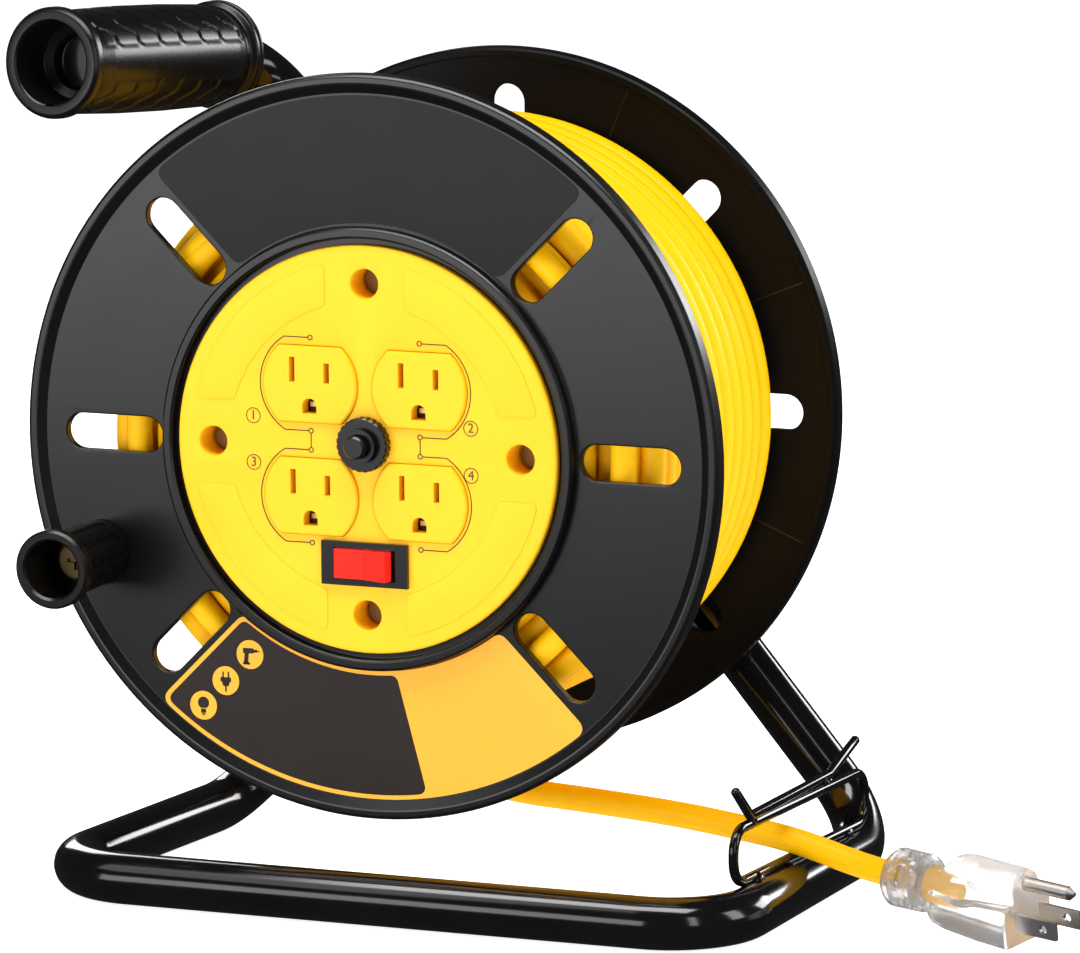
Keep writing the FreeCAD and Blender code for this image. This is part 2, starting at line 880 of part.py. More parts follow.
def make_face_plate():
    """The yellow plate, with openings for what shows in it and four deep screw wells."""
    back = dim.recess_depth
    body = new_body("face_plate")
    pad(body, circle(front_sketch(body, back), dim.face_radius), back - dim.plate_front)
    front = dim.plate_front.value

    def front_edge(edge):
        return edge.BoundBox.YLength < 1e-6 and abs(edge.BoundBox.YMin - front) < 1e-6

    rounded(body, dim.face_edge, front_edge)
    through = back - dim.plate_front + 1
    start = dim.plate_front - 0.5
    fit = dim.outlet_fit
    sketch = front_sketch(body, start)
    for side, rise in outlets:
        radius, half = dim.outlet_radius + fit, dim.outlet_half_height + fit
        flat_circle(sketch, radius, half, dim.outlet_x * side, rise)
    circle(sketch, dim.breaker_barrel + 0.2, 0, dim.breaker_rise)
    pocket(body, sketch, through)
    sketch = front_sketch(body, start)
    long, tall = dim.switch_length + 0.4, dim.switch_height + 0.4
    pocket(body, rectangle(sketch, dim.switch_x, -dim.switch_drop, long, tall), through)
    outer = dim.well_radius + dim.well_wall
    well = circle(front_sketch(body, dim.well_end), outer, dim.screw_circle, 0)
    well = pad(body, well, dim.well_end - back)
    around(body, well, 4)
    bore = circle(front_sketch(body, start), dim.well_radius, dim.screw_circle, 0)
    around(body, pocket(body, bore, dim.well_floor - start), 4)
    bore_radius = dim.screw_shank_radius + 0.3
    bore = circle(front_sketch(body, dim.well_floor - 1), bore_radius, dim.screw_circle, 0)
    around(body, pocket(body, bore, 4), 4)


def make_outlet(number, side, rise):
    """One three-pin outlet: two upright slots and a round-topped ground hole."""
    body = new_body(f"outlet_{number}")
    x = dim.outlet_x * side
    face = flat_circle(
        front_sketch(body, dim.outlet_back), dim.outlet_radius, dim.outlet_half_height, x, rise
    )
    pad(body, face, dim.outlet_back - dim.outlet_front)
    sketch = front_sketch(body, dim.outlet_front)
    half = dim.blade_spacing / 2
    low = rise + dim.blade_rise - dim.slot_tall / 2
    rectangle(sketch, x - half, rise + dim.blade_rise, dim.slot_thickness, dim.slot_tall)
    rectangle(sketch, x + half, low + dim.slot_short / 2, dim.slot_thickness, dim.slot_short)
    pocket(body, sketch, dim.socket_depth)
    sketch = front_sketch(body, dim.outlet_front)
    wide, centre = dim.ground_width, rise - dim.ground_drop
    rectangle(sketch, x, centre - wide / 4, wide, wide / 2)
    pocket(body, sketch, dim.socket_depth)
    pocket(body, circle(front_sketch(body, dim.outlet_front), wide / 2, x, centre), dim.socket_depth)


def make_contacts():
    """The brass clips at the bottom of each outlet's slots."""
    clips = []
    back = dim.outlet_front + dim.socket_depth
    front = back - 5
    for number, (side, rise) in enumerate(outlets):
        x = dim.outlet_x * side
        half = dim.blade_spacing / 2
        blade = rise + dim.blade_rise
        ground = rise - dim.ground_drop
        spots = [(x - half, blade, 0.8, 3.2), (x + half, blade, 0.8, 2.2), (x, ground, 1.6, 0.8)]
        for place, (cx, cz, wide, tall) in enumerate(spots):
            low, high = (cx - wide, front, cz - tall), (cx + wide, back, cz + tall)
            clips.append(box(f"clip_{number}_{place}", low, high))
    group("outlet_contacts", clips)


def make_cover():
    """The insulating box behind the outlets, open towards them."""
    wide, wall, front = dim.cover_half_width, dim.cover_wall, dim.recess_depth
    low, high = (-wide, front, dim.cover_bottom), (wide, dim.cover_back, dim.cover_top)
    inner_low = (wall - wide, front - 1, dim.cover_bottom + wall * 0.6)
    inner_high = (wide - wall, dim.cover_back - wall, dim.cover_top - wall)
    shell = joined("cover_shell", "Cut", box("cover_out", low, high), box("cover_in", inner_low, inner_high))
    named("outlet_cover", placed(shell))


def make_breaker():
    """The overload breaker: a barrel through the plate, its knurled nut and its button."""
    rise = dim.breaker_rise
    body = new_body("breaker_body")
    back = dim.outlet_back + 1
    pad(body, circle(front_sketch(body, back), dim.breaker_barrel, 0, rise), back - dim.breaker_front)
    block = rectangle(front_sketch(body, dim.cover_back - 4), 0, rise, 16, 26)
    pad(body, block, dim.cover_back - 4 - back)
    bore = circle(front_sketch(body, dim.breaker_front), dim.breaker_bore, 0, rise)
    pocket(body, bore, dim.button_back + 3 - dim.breaker_front)
    nut = turned(
        "breaker_nut",
        [
            (dim.breaker_barrel + 0.05, dim.plate_front),
            (dim.breaker_nut_radius, dim.plate_front),
            (dim.breaker_nut_radius, dim.breaker_nut_front + 0.5),
            (dim.breaker_nut_radius - 0.5, dim.breaker_nut_front),
            (dim.breaker_barrel + 0.05, dim.breaker_nut_front),
        ],
    )
    groove = circle(front_sketch(nut, dim.breaker_nut_front - 0.5), dim.knurl_radius, dim.breaker_nut_radius, 0)
    around(nut, pocket(nut, groove, 5), 24)
    placed(nut, 0, 0, rise)
    button = turned(
        "reset_button",
        [
            (0, dim.button_front),
            (dim.button_radius - 0.6, dim.button_front),
            (dim.button_radius, dim.button_front + 0.6),
            (dim.button_radius, dim.button_back),
            (0, dim.button_back),
        ],
    )
    placed(button, 0, 0, rise)


def make_switch():
    """The switch's housing with its bezel, and the rocker that tilts in it."""
    x, z = dim.switch_x, -dim.switch_drop
    body = new_body("switch_housing")
    sketch = rectangle(front_sketch(body, dim.plate_front), x, z, dim.bezel_length, dim.bezel_height)
    pad(body, sketch, dim.plate_front - dim.bezel_front)
    sketch = rectangle(front_sketch(body, dim.switch_back), x, z, dim.switch_length, dim.switch_height)
    pad(body, sketch, dim.switch_back - dim.plate_front)
    long, tall = dim.rocker_pocket_length, dim.rocker_pocket_height
    sketch = rectangle(front_sketch(body, dim.bezel_front), x, z, long, tall)
    pocket(body, sketch, dim.rocker_pocket_back - dim.bezel_front)
    rocker = new_body("switch_rocker")
    half = dim.rocker_half_length
    corners = [
        (-half, -5.5),
        (0, -3.9),
        (half, -5.5),
        (half, -1.5),
        (half / 2, 3.5),
        (0, 5),
        (-half / 2, 3.5),
        (-half, -1.5),
    ]
    sketch = outline(sketch_on(rocker, "XY_Plane", -dim.rocker_height / 2), corners)
    pad(rocker, sketch, dim.rocker_height)
    bore = dim.rocker_pin_radius + dim.knob_fit
    hole = circle(sketch_on(rocker, "XY_Plane", dim.rocker_height / 2), bore)
    pocket(rocker, hole, dim.rocker_height)
    placed(rocker, x, dim.rocker_pivot, z)
    rocker.Placement.Rotation = FreeCAD.Rotation(Z, -dim.rocker_tilt.value)
    pivot = new_body("switch_pin")
    half = dim.rocker_pocket_height / 2
    pad(pivot, circle(sketch_on(pivot, "XY_Plane", -half), dim.rocker_pin_radius), half * 2)
    placed(pivot, x, dim.rocker_pivot, z)


def make_knob():
    """The crank knob, free on a shoulder screw near the rim."""
    x, z = dim.knob_x, -dim.knob_drop
    lip, radius, bore, front = dim.knob_lip_radius, dim.knob_radius, dim.knob_bore_radius, dim.knob_front
    hole = dim.shoulder_radius + dim.knob_fit
    corners = [
        (hole, dim.knob_base),
        (radius - 0.6, dim.knob_base),
        (radius, dim.knob_base - 0.6),
        (radius, front + 9),
        (lip, front + 4),
        (lip, front + 0.8),
        (lip - 0.8, front),
        (bore + 0.8, front),
        (bore, front + 0.8),
        (bore, dim.knob_bore_floor),
        (hole, dim.knob_bore_floor),
    ]
    knob = turned("crank_knob", corners)
    flute = circle(front_sketch(knob, front + 9), dim.flute_radius, dim.flute_circle, 0)
    around(knob, pocket(knob, flute, 25), 10)
    placed(knob, x, 0, z)
    head_back = dim.knob_bore_floor - dim.side_play
    screw = turned(
        "knob_screw",
        [
            (0, head_back - dim.knob_head_depth),
            (dim.knob_head_radius - 1, head_back - dim.knob_head_depth),
            (dim.knob_head_radius, head_back - dim.knob_head_depth + 1),
            (dim.knob_head_radius, head_back),
            (dim.shoulder_radius, head_back),
            (dim.shoulder_radius, flange_back + dim.knob_nut_depth),
            (0, flange_back + dim.knob_nut_depth),
        ],
    )
    cross = front_sketch(screw, head_back - dim.knob_head_depth)
    pocket(screw, rectangle(cross, 0, 0, 6.4, 1.4), 1.6)
    cross = front_sketch(screw, head_back - dim.knob_head_depth)
    pocket(screw, rectangle(cross, 0, 0, 1.4, 6.4), 1.6)
    placed(screw, x, 0, z)
    nut = new_body("knob_nut")
    sketch = hexagon(front_sketch(nut, flange_back + dim.knob_nut_depth), dim.knob_nut_across)
    pad(nut, circle(sketch, dim.shoulder_radius), dim.knob_nut_depth)
    placed(nut, x, 0, z)


def make_label(name, side):
    """A thin stick-on label: a sector whose ends run parallel to the slots beside it."""
    body = new_body(name)
    sketch = front_sketch(body, dim.recess_depth)
    inset = dim.label_inset.value
    arcs = []
    for radius in (dim.label_inner, dim.label_outer):
        start = math.pi / 4 + math.asin(inset / radius.value)
        end = math.pi - start
        across = radius * math.cos(start)
        if side > 0:
            arcs.append(arc_point(sketch, (0, 0), radius, start, end, (across, -across)))
        else:
            arcs.append(arc_point(sketch, (0, 0), radius, -end, -start, (-across, across)))
    inner, outer = arcs
    for ends in (1, 2):
        from_inner, to_outer = sketch.getPoint(inner, ends), sketch.getPoint(outer, ends)
        line = sketch.addGeometry(Part.LineSegment(from_inner, to_outer), False)
        sketch.addConstraint(Sketcher.Constraint("Coincident", line, 1, inner, ends))
        sketch.addConstraint(Sketcher.Constraint("Coincident", line, 2, outer, ends))
    pad(body, sketch, dim.label_depth)
    rounded(body, dim.label_corner, runs_along(Y))


# ---------------------------------------------------------------- plug and free cord
def plug_placement():
    turned_to = FreeCAD.Rotation(dim.plug_heading.value, dim.plug_dip.value, dim.plug_roll.value)
    return FreeCAD.Placement(point(dim.plug_x, dim.plug_y, -dim.plug_drop), turned_to)


def on_plug(thing):
    """Places a sub-part that is drawn along the plug's own X axis."""
    placed(thing, dim.plug_x, dim.plug_y, -dim.plug_drop)
    thing.Placement.Rotation = plug_placement().Rotation
    return thing


def make_plug():
    """A straight three-pin plug: moulded body, strain relief, two blades, ground pin."""
    body = new_body("plug_body")
    wide, low, top = dim.plug_half_width, dim.plug_bottom, dim.plug_top
    corners = [
        (-wide, low),
        (wide, low),
        (wide, 2),
        (7.6, 9),
        (5.4, top),
        (-5.4, top),
        (-7.6, 9),
        (-wide, 2),
    ]
    block = outline(sketch_on(body, "YZ_Plane", -dim.plug_block), corners)
    pad(body, block, dim.plug_block)
    narrow = [(size_of(y) * 0.62, size_of(z) * 0.62) for y, z in corners]
    wide_end = outline(sketch_on(body, "YZ_Plane", -dim.plug_block), corners)
    narrow_end = outline(sketch_on(body, "YZ_Plane", -dim.plug_neck), narrow)
    loft = body.newObject("PartDesign::AdditiveLoft", "plug_shoulder")
    loft.Profile = wide_end
    loft.Sections = [narrow_end]
    loft.Ruled = True
    doc.recompute()
    on_plug(body)
    end, radius = -dim.relief_end, dim.relief_radius
    corners = [
        (end, 0),
        (end, radius - 1.5),
        (end + 1.5, radius),
        (-dim.plug_neck - 2, radius),
        (-dim.plug_neck, radius - 1.5),
        (-dim.plug_neck, 0),
    ]
    on_plug(turned("plug_strain_relief", corners, "H_Axis"))
    blades = []
    root, long, half = -dim.prong_root, dim.blade_length, dim.blade_thickness / 2
    for side in (-1, 1):
        y = dim.blade_spacing / 2 * side
        drop = -dim.blade_drop
        low = (0, y - half, drop - dim.blade_height / 2)
        high = (long, y + half, drop + dim.blade_height / 2)
        blade = box(f"blade_{side + 1}", low, high)
        hole = rod(f"blade_hole_{side + 1}", 1.55, 6, dim.blade_hole, y - 3, drop)
        blades.append(joined(f"drilled_blade_{side + 1}", "Cut", blade, hole))
    on_plug(group("plug_blades", blades))
    pin_level = dim.pin_spacing - dim.blade_drop
    radius, long = dim.ground_pin_radius, dim.ground_pin_length
    corners = [(0, 0), (0, radius), (long - 2, radius), (long, 0.8), (long, 0)]
    body = new_body("plug_ground_pin")
    sketch = outline(sketch_on(body, "XY_Plane"), corners)
    made = body.newObject("PartDesign::Revolution", "ground_pin_turn")
    made.Profile = sketch
    made.ReferenceAxis = (sketch, ["H_Axis"])
    made.Angle = 360
    doc.recompute()
    on_plug(body)
    lift = plug_placement().Rotation.multVec(point(0, 0, pin_level))
    placed(body, dim.plug_x + lift.x, dim.plug_y + lift.y, -dim.plug_drop + lift.z)


def make_tail():
    """The free end of the cord: off the bottom of the winding and through the guide."""
    end = plug_placement().multVec(point(-dim.relief_end, 0, 0))
    points = [
        FreeCAD.Vector(-64, 60, -86),
        FreeCAD.Vector(-38, 60, -104.5),
        FreeCAD.Vector(-8, 60, -118.5),
        FreeCAD.Vector(24, 60, -126.3),
        FreeCAD.Vector(56, 60.3, -128),
        FreeCAD.Vector(88, 61.3, -130.6),
        FreeCAD.Vector(112, 62.5, -134),
        FreeCAD.Vector(131, 64.2, -137.4),
        FreeCAD.Vector(149.6, 66.3, -143.8),
        end,
    ]
    radii = []
    for before, here, after in zip(points, points[1:], points[2:]):
        shorter = min((here - before).Length, (after - here).Length)
        half = (here - before).getAngle(after - here) / 2
        radii.append(0.45 * shorter / math.tan(half))
    path = route(points, radii)
    tube = swept(path, dim.cord_diameter.value / 2)
    section = math.pi * (dim.cord_diameter.value / 2) ** 2
    print("cord tail radii:", [round(radius) for radius in radii])
    print("cord tail length:", round(path.Length, 1))
    print("cord tail volume over section times length:", round(tube.Volume / (section * path.Length), 4))
    shaped("cord_tail", tube)


# ---------------------------------------------------------------- build, check, write
make_foot()
make_main_strut()
make_side_strut()
make_grip()
make_guide()
make_axle()
make_front_flange()
make_back_flange()
make_hub()
make_drum()
make_screws()
make_face_plate()
for index, (side, rise) in enumerate(outlets):
    make_outlet(index + 1, side, rise)
make_contacts()
make_cover()
make_breaker()
make_switch()
make_knob()
make_label("upper_label", 1)
make_label("lower_label", -1)
make_plug()
make_tail()
doc.recompute()

for thing in doc.Objects:
    troubles = [state for state in thing.State if state in ("Invalid", "Error")]
    assert not troubles, f"{thing.Label} is {troubles}"
for name, thing in nodes.items():
    shape = thing.Shape
    assert not shape.isNull() and shape.isValid() and shape.Volume > 0, f"{name} has no valid shape"
    shape.exportStep(f"parts/{name}.step")
    print(f"{name}: {len(shape.Solids)} solid, {shape.Volume / 1000:.2f} cm3")

cord_parts = ("cord_tail", "cord_winding", "plug_body", "plug_strain_relief", "plug_blades", "plug_ground_pin")
whole = FreeCAD.BoundBox()
for name, thing in nodes.items():
    if name not in cord_parts:
        whole.add(thing.Shape.optimalBoundingBox(False, False))
print("box without the cord:", whole)
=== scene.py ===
"""An extension cord reel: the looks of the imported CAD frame, its camera and its light."""

import math

import bmesh
import bpy
from mathutils import Matrix, Vector, noise


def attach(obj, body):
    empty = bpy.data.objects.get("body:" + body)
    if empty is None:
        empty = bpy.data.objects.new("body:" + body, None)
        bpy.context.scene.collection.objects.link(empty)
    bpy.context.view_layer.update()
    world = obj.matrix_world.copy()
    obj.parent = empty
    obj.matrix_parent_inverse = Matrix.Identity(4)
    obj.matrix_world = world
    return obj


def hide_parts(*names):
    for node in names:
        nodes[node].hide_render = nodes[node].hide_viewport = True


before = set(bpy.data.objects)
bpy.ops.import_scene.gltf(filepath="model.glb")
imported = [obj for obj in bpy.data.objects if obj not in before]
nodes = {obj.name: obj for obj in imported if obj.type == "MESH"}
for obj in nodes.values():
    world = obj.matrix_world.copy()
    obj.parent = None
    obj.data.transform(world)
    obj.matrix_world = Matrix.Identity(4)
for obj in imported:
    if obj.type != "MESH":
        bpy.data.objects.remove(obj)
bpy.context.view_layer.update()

# Sizes here are millimetres about the reel's own centre, as in the CAD source: X right,
# Y back along the axle from the front of the rim, Z up. CENTRE moves them onto the floor.
MM = 0.001
CENTRE = Vector((3.7, -66.5, 162.1))


def at(x, y, z):
    """A point in the row frame, in metres."""
    return (Vector((x, y, z)) + CENTRE) * MM


def polar(radius, degrees, y=0.0):
    """A point on a circle about the axle, as (x, y, z)."""
    angle = math.radians(degrees)
    return (radius * math.cos(angle), y, radius * math.sin(angle))


# ---------------------------------------------------------------- materials
def plastic(
    name,
    color,
    rough=0.4,
    mottle=0.03,
    rough_spread=0.05,
    grain=900.0,
    grain_depth=0.05,
    wave=0.0,
    **sockets,
):
    """Moulded or painted surface: faint colour drift, uneven gloss, fine grain."""
    material = bpy.data.materials.new(name)
    material.use_nodes = True
    tree = material.node_tree
    shader = tree.nodes["Principled BSDF"]
    make, link = tree.nodes.new, tree.links.new
    where = make("ShaderNodeTexCoord").outputs["Object"]

    def clouds(scale, detail):
        texture = make("ShaderNodeTexNoise")
        texture.inputs["Scale"].default_value = scale
        texture.inputs["Detail"].default_value = detail
        link(where, texture.inputs["Vector"])
        return texture.outputs["Fac"]

    def bumps(height, strength, distance):
        bump = make("ShaderNodeBump")
        bump.inputs["Strength"].default_value = strength
        bump.inputs["Distance"].default_value = distance
        link(height, bump.inputs["Height"])
        return bump

    ramp = make("ShaderNodeValToRGB")
    stops = zip(ramp.color_ramp.elements, (0.3, 0.7), (1 - mottle, 1 + mottle))
    for stop, position, factor in stops:
        stop.position = position
        stop.color = [min(1, c * factor) for c in color] + [1]
    link(clouds(22.0, 4.0), ramp.inputs["Fac"])
    link(ramp.outputs["Color"], shader.inputs["Base Color"])
    spread = make("ShaderNodeMapRange")
    spread.inputs["To Min"].default_value = max(0.02, rough - rough_spread)
    spread.inputs["To Max"].default_value = rough + rough_spread
    link(clouds(60.0, 5.0), spread.inputs["Value"])
    link(spread.outputs["Result"], shader.inputs["Roughness"])
    bump = bumps(clouds(grain, 2.0), grain_depth, 0.0004)
    if wave:
        link(bumps(clouds(35.0, 1.0), wave, 0.002).outputs["Normal"], bump.inputs["Normal"])
    link(bump.outputs["Normal"], shader.inputs["Normal"])
    for socket, value in sockets.items():
        shader.inputs[socket.replace("_", " ")].default_value = value
    return material


BLACK = (0.003, 0.003, 0.0032)
paint = plastic("black_gloss_paint", BLACK, 0.13, 0.2, 0.03, 1600, 0.02, 0.02)
satin_black = plastic("satin_black_plastic", (0.003, 0.003, 0.0033), 0.29, 0.15, 0.03, 2200, 0.03)
gloss_black = plastic(
    "label_black", BLACK, 0.22, 0.15, 0.02, 2200, 0.01, Specular_IOR_Level=0.16
)
back_black = plastic(
    "back_black_plastic", BLACK, 0.30, 0.15, 0.04, 1800, 0.04, Specular_IOR_Level=0.08
)
grip_black = plastic(
    "grip_black_plastic", BLACK, 0.27, 0.15, 0.04, 1800, 0.04, Specular_IOR_Level=0.32
)
inner_black = plastic("inner_black_plastic", (0.006, 0.006, 0.0065), 0.5, 0.2, 0.06, 1500, 0.1)
yellow = plastic(
    "yellow_plastic",
    (0.92, 0.475, 0.006),
    0.42,
    0.012,
    0.05,
    1500,
    0.04,
    Specular_IOR_Level=0.25,
)
cord_yellow = plastic(
    "yellow_cord_jacket",
    (0.95, 0.49, 0.0),
    0.42,
    0.02,
    0.06,
    1200,
    0.08,
    Specular_IOR_Level=0.15,
)
steel = plastic("zinc_plated_steel", (0.62, 0.61, 0.58), 0.32, 0.06, 0.08, 900, 0.05, Metallic=1.0)
brass = plastic("brass_contact", (0.72, 0.50, 0.20), 0.3, 0.06, 0.06, 900, 0.05, Metallic=1.0)
nickel = plastic("nickel_plated_brass", (0.74, 0.74, 0.73), 0.38, 0.04, 0.05, 900, 0.03, Metallic=1.0)
# the emission paints a faint red glow into the rocker, in place of light passing through the
# translucent lens
red_lens_painted_glow = plastic(
    "red_lens_painted_glow",
    (0.85, 0.02, 0.012),
    0.14,
    0.06,
    0.03,
    600,
    0.02,
    Coat_Weight=0.5,
    Transmission_Weight=0.25,
    Emission_Color=(1, 0.05, 0.03, 1),
    Emission_Strength=0.18,
)
dark_print = plastic("dark_label", (0.013, 0.0065, 0.005), 0.34, 0.1, 0.03, 1500, 0.03)
line_print = plastic("printed_line", (0.06, 0.035, 0.01), 0.5, 0.1, 0.03, 1500, 0.03)
gold_print = plastic(
    "gold_print", (0.84, 0.36, 0.018), 0.40, 0.015, 0.04, 1500, 0.03, Specular_IOR_Level=0.3
)
clear_vinyl = plastic(
    "clear_vinyl",
    (0.74, 0.74, 0.75),
    0.20,
    0.01,
    0.05,
    700,
    0.06,
    0.05,
    Transmission_Weight=0.86,
    IOR=1.38,
)
# dark brownish steel: painted shade of the deep screw wells and painted yellow bounce light from the
# plate; the knob screw shares it
painted_shade_screws = plastic(
    "screw_steel_painted_shade", (0.22, 0.15, 0.06), 0.5, 0.1, 0.08, 900, 0.05, Metallic=0.6
)

looks = {
    paint: ["frame_foot", "main_strut", "side_strut", "cord_guide", "plug_hook", "axle_plate"],
    back_black: ["back_flange"],
    satin_black: ["front_flange", "breaker_body", "breaker_nut", "reset_button", "switch_housing"],
    gloss_black: ["upper_label"],
    grip_black: ["handle_grip", "crank_knob"],
    inner_black: ["drum_shell", "hub_boss", "hub_bushing", "screw_posts", "cord_gland", "outlet_cover"],
    cord_yellow: ["cord_winding", "cord_tail"],
    yellow: ["face_plate", "outlet_1", "outlet_2", "outlet_3", "outlet_4"],
    brass: ["outlet_contacts"],
    red_lens_painted_glow: ["switch_rocker"],
    dark_print: ["lower_label"],
    clear_vinyl: ["plug_body", "plug_strain_relief"],
    nickel: ["plug_blades", "plug_ground_pin"],
    painted_shade_screws: ["face_plate_screws", "knob_screw"],
}
look_of = {name: material for material, names in looks.items() for name in names}
for name, node in nodes.items():
    node.data.materials.clear()
    node.data.materials.append(look_of.get(name, steel))

rounding = nodes["switch_rocker"].modifiers.new("rounding", "BEVEL")
rounding.width, rounding.segments, rounding.limit_method = 0.7 * MM, 3, "ANGLE"
rounding.angle_limit = math.radians(35)


# ---------------------------------------------------------------- building pieces
def mesh_from(name, verts, faces, sharp=32.0):
    """A mesh from points in millimetres about the reel's centre."""
    mesh = bpy.data.meshes.new(name)
    mesh.from_pydata([at(*v) for v in verts], [], faces)
    work = bmesh.new()
    work.from_mesh(mesh)
    bmesh.ops.recalc_face_normals(work, faces=work.faces)
    work.to_mesh(mesh)
    work.free()
    return smoothed(mesh, sharp)


def smoothed(mesh, sharp=32.0):
    """The mesh shaded smooth, but for edges that turn by more than an angle in degrees."""
    mesh.update()
    mesh.polygons.foreach_set("use_smooth", [True] * len(mesh.polygons))
    mesh.set_sharp_from_angle(angle=math.radians(sharp))
    return mesh


def put(name, mesh, body, material, stands_for=()):
    """Makes a mesh a piece that rides on a body."""
    piece = bpy.data.objects.new(name, mesh)
    bpy.context.scene.collection.objects.link(piece)
    mesh.materials.clear()
    mesh.materials.append(material)
    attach(piece, body)
    if stands_for:
        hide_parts(*stands_for)
    return piece


def merged(name, meshes, sharp=32.0):
    """Several meshes as one."""
    verts, faces = [], []
    for mesh in meshes:
        start = len(verts)
        verts += [tuple(v.co) for v in mesh.vertices]
        faces += [tuple(start + i for i in face.vertices) for face in mesh.polygons]
        bpy.data.meshes.remove(mesh)
    whole = bpy.data.meshes.new(name)
    whole.from_pydata(verts, [], faces)
    return smoothed(whole, sharp)


def changed(mesh, modifiers, sharp=32.0):
    """The mesh after modifiers, each a (kind, settings) pair; sharp=None keeps its shading."""
    ghost = bpy.data.objects.new("ghost", mesh)
    bpy.context.scene.collection.objects.link(ghost)
    for kind, settings in modifiers:
        modifier = ghost.modifiers.new(kind.lower(), kind)
        for prop, value in settings.items():
            setattr(modifier, prop, value)
    bpy.context.view_layer.update()
    ready = ghost.evaluated_get(bpy.context.evaluated_depsgraph_get())
    result = bpy.data.meshes.new_from_object(ready)
    bpy.data.objects.remove(ghost)
    return smoothed(result, sharp) if sharp else result


def carved(mesh, cutters, sharp=32.0):
    """The mesh with a list of cutter meshes taken away."""
    tool = bpy.data.objects.new("cutter", merged("cutter", cutters))
    bpy.context.scene.collection.objects.link(tool)
    settings = {"operation": "DIFFERENCE", "solver": "EXACT", "object": tool}
    result = changed(mesh, [("BOOLEAN", settings)], sharp)
    bpy.data.objects.remove(tool)
    even_shading = ("WEIGHTED_NORMAL", {"keep_sharp": True, "weight": 100})
    return changed(result, [even_shading], None)


def rounded(start, corner, end, steps):
    """Points of the curve that leaves start towards a corner and comes in to end from it."""
    spots = []
    for step in range(steps + 1):
        t = step / steps
        spots.append(tuple(start * (1 - t) ** 2 + corner * 2 * t * (1 - t) + end * t * t))
    return spots


STRAIGHT = 0.02
TINY = 1e-4


def soften(corners, radius, steps=5):
    """A closed outline with its corners rounded: corners are (a, b) or (a, b, own radius)."""
    out, count = [], len(corners)
    for index, corner in enumerate(corners):
        here = Vector(corner[:2])
        own = corner[2] if len(corner) > 2 else radius
        before = Vector(corners[index - 1][:2]) - here
        after = Vector(corners[(index + 1) % count][:2]) - here
        turn = math.pi - before.angle(after)
        room = 0.48 * min(before.length, after.length)
        back = min(own * math.tan(turn / 2), room)
        if turn < STRAIGHT or back < TINY:
            out.append(tuple(here))
            continue
        start, end = here + before.normalized() * back, here + after.normalized() * back
        out += rounded(start, here, end, steps)
    return out


def grid_faces(rows, columns, wrap_rows=True):
    """Quads of a grid of points numbered row by row, each row a closed ring."""
    faces = []
    for row in range(rows if wrap_rows else rows - 1):
        here, above = row * columns, (row + 1) % rows * columns
        for column in range(columns):
            beside = (column + 1) % columns
            faces.append((here + column, here + beside, above + beside, above + column))
    return faces


def ring_faces(rings, count):
    """Faces of a closed solid made of rings of points, with a cap on each end."""
    last = (rings - 1) * count
    caps = [tuple(reversed(range(count))), tuple(range(last, last + count))]
    return grid_faces(rings, count, wrap_rows=False) + caps


def lathe(outline, segments=192, centre=(0, 0), sharp=32.0):
    """Turns a closed outline of (radius, depth) pairs about an axis along Y."""
    verts = []
    for segment in range(segments):
        angle = 2 * math.pi * segment / segments
        c, s = math.cos(angle), math.sin(angle)
        verts += [(centre[0] + r * c, y, centre[1] + r * s) for r, y in outline]
    return mesh_from("lathe", verts, grid_faces(segments, len(outline)), sharp)


def inset(outline, amount):
    """An anticlockwise outline moved inwards by an amount, or outwards by a negative one."""
    if not amount:
        return list(outline)
    moved, count = [], len(outline)
    for index in range(count):
        a, b, c = (Vector(outline[(index + k) % count]) for k in (-1, 0, 1))
        before, after = (b - a).normalized(), (c - b).normalized()
        inward = Vector((-before.y - after.y, before.x + after.x))
        scale = max(inward.length_squared / 2, 0.4)
        moved.append(tuple(b + inward * (amount / scale)))
    return moved


def prism(outline, levels, sharp=32.0):
    """A solid of an (x, z) outline at levels, each a (depth, inset) pair, front one first."""
    verts = []
    for y, amount in levels:
        verts += [(x, y, z) for x, z in inset(outline, amount)]
    return mesh_from("prism", verts, ring_faces(len(levels), len(outline)), sharp)


def round_edge(front, back, radius, steps=4):
    """Levels of a prism whose front edge is rounded."""
    levels = []
    for step in range(steps, -1, -1):
        t = math.pi / 2 * step / steps
        levels.append((front + radius * (1 - math.sin(t)), radius * (1 - math.cos(t))))
    return levels + [(back, 0)]


def cut_levels(front, back, radius, steps=4):
    """Levels of a cutter that leaves a rounded edge round the hole at the front."""
    turns = [math.pi / 2 * step / steps for step in range(steps + 1)]
    levels = [(front - 2, -radius - 0.3)]
    levels += [(front + radius * (1 - math.cos(t)), -radius * (1 - math.sin(t))) for t in turns]
    return levels + [(back, 0)]


def arc(centre, radius, start, end, steps=24):
    """Points of an arc, angles in degrees."""
    spots = []
    for step in range(steps + 1):
        angle = math.radians(start + (end - start) * step / steps)
        spots.append((centre[0] + radius * math.cos(angle), centre[1] + radius * math.sin(angle)))
    return spots


def ring_outline(radius, centre=(0, 0), steps=48):
    """A whole circle, without its first point repeated."""
    return arc(centre, radius, 0, 360 * (1 - 1 / steps), steps - 1)


def stadium(inner, outer, width, degrees):
    """A slot's outline, radial at an angle, anticlockwise."""
    half = width / 2
    points = arc((outer - half, 0), half, -90, 90, 14) + arc((inner + half, 0), half, 90, 270, 14)
    angle = math.radians(degrees)
    c, s = math.cos(angle), math.sin(angle)
    return [(x * c - z * s, x * s + z * c) for x, z in points]


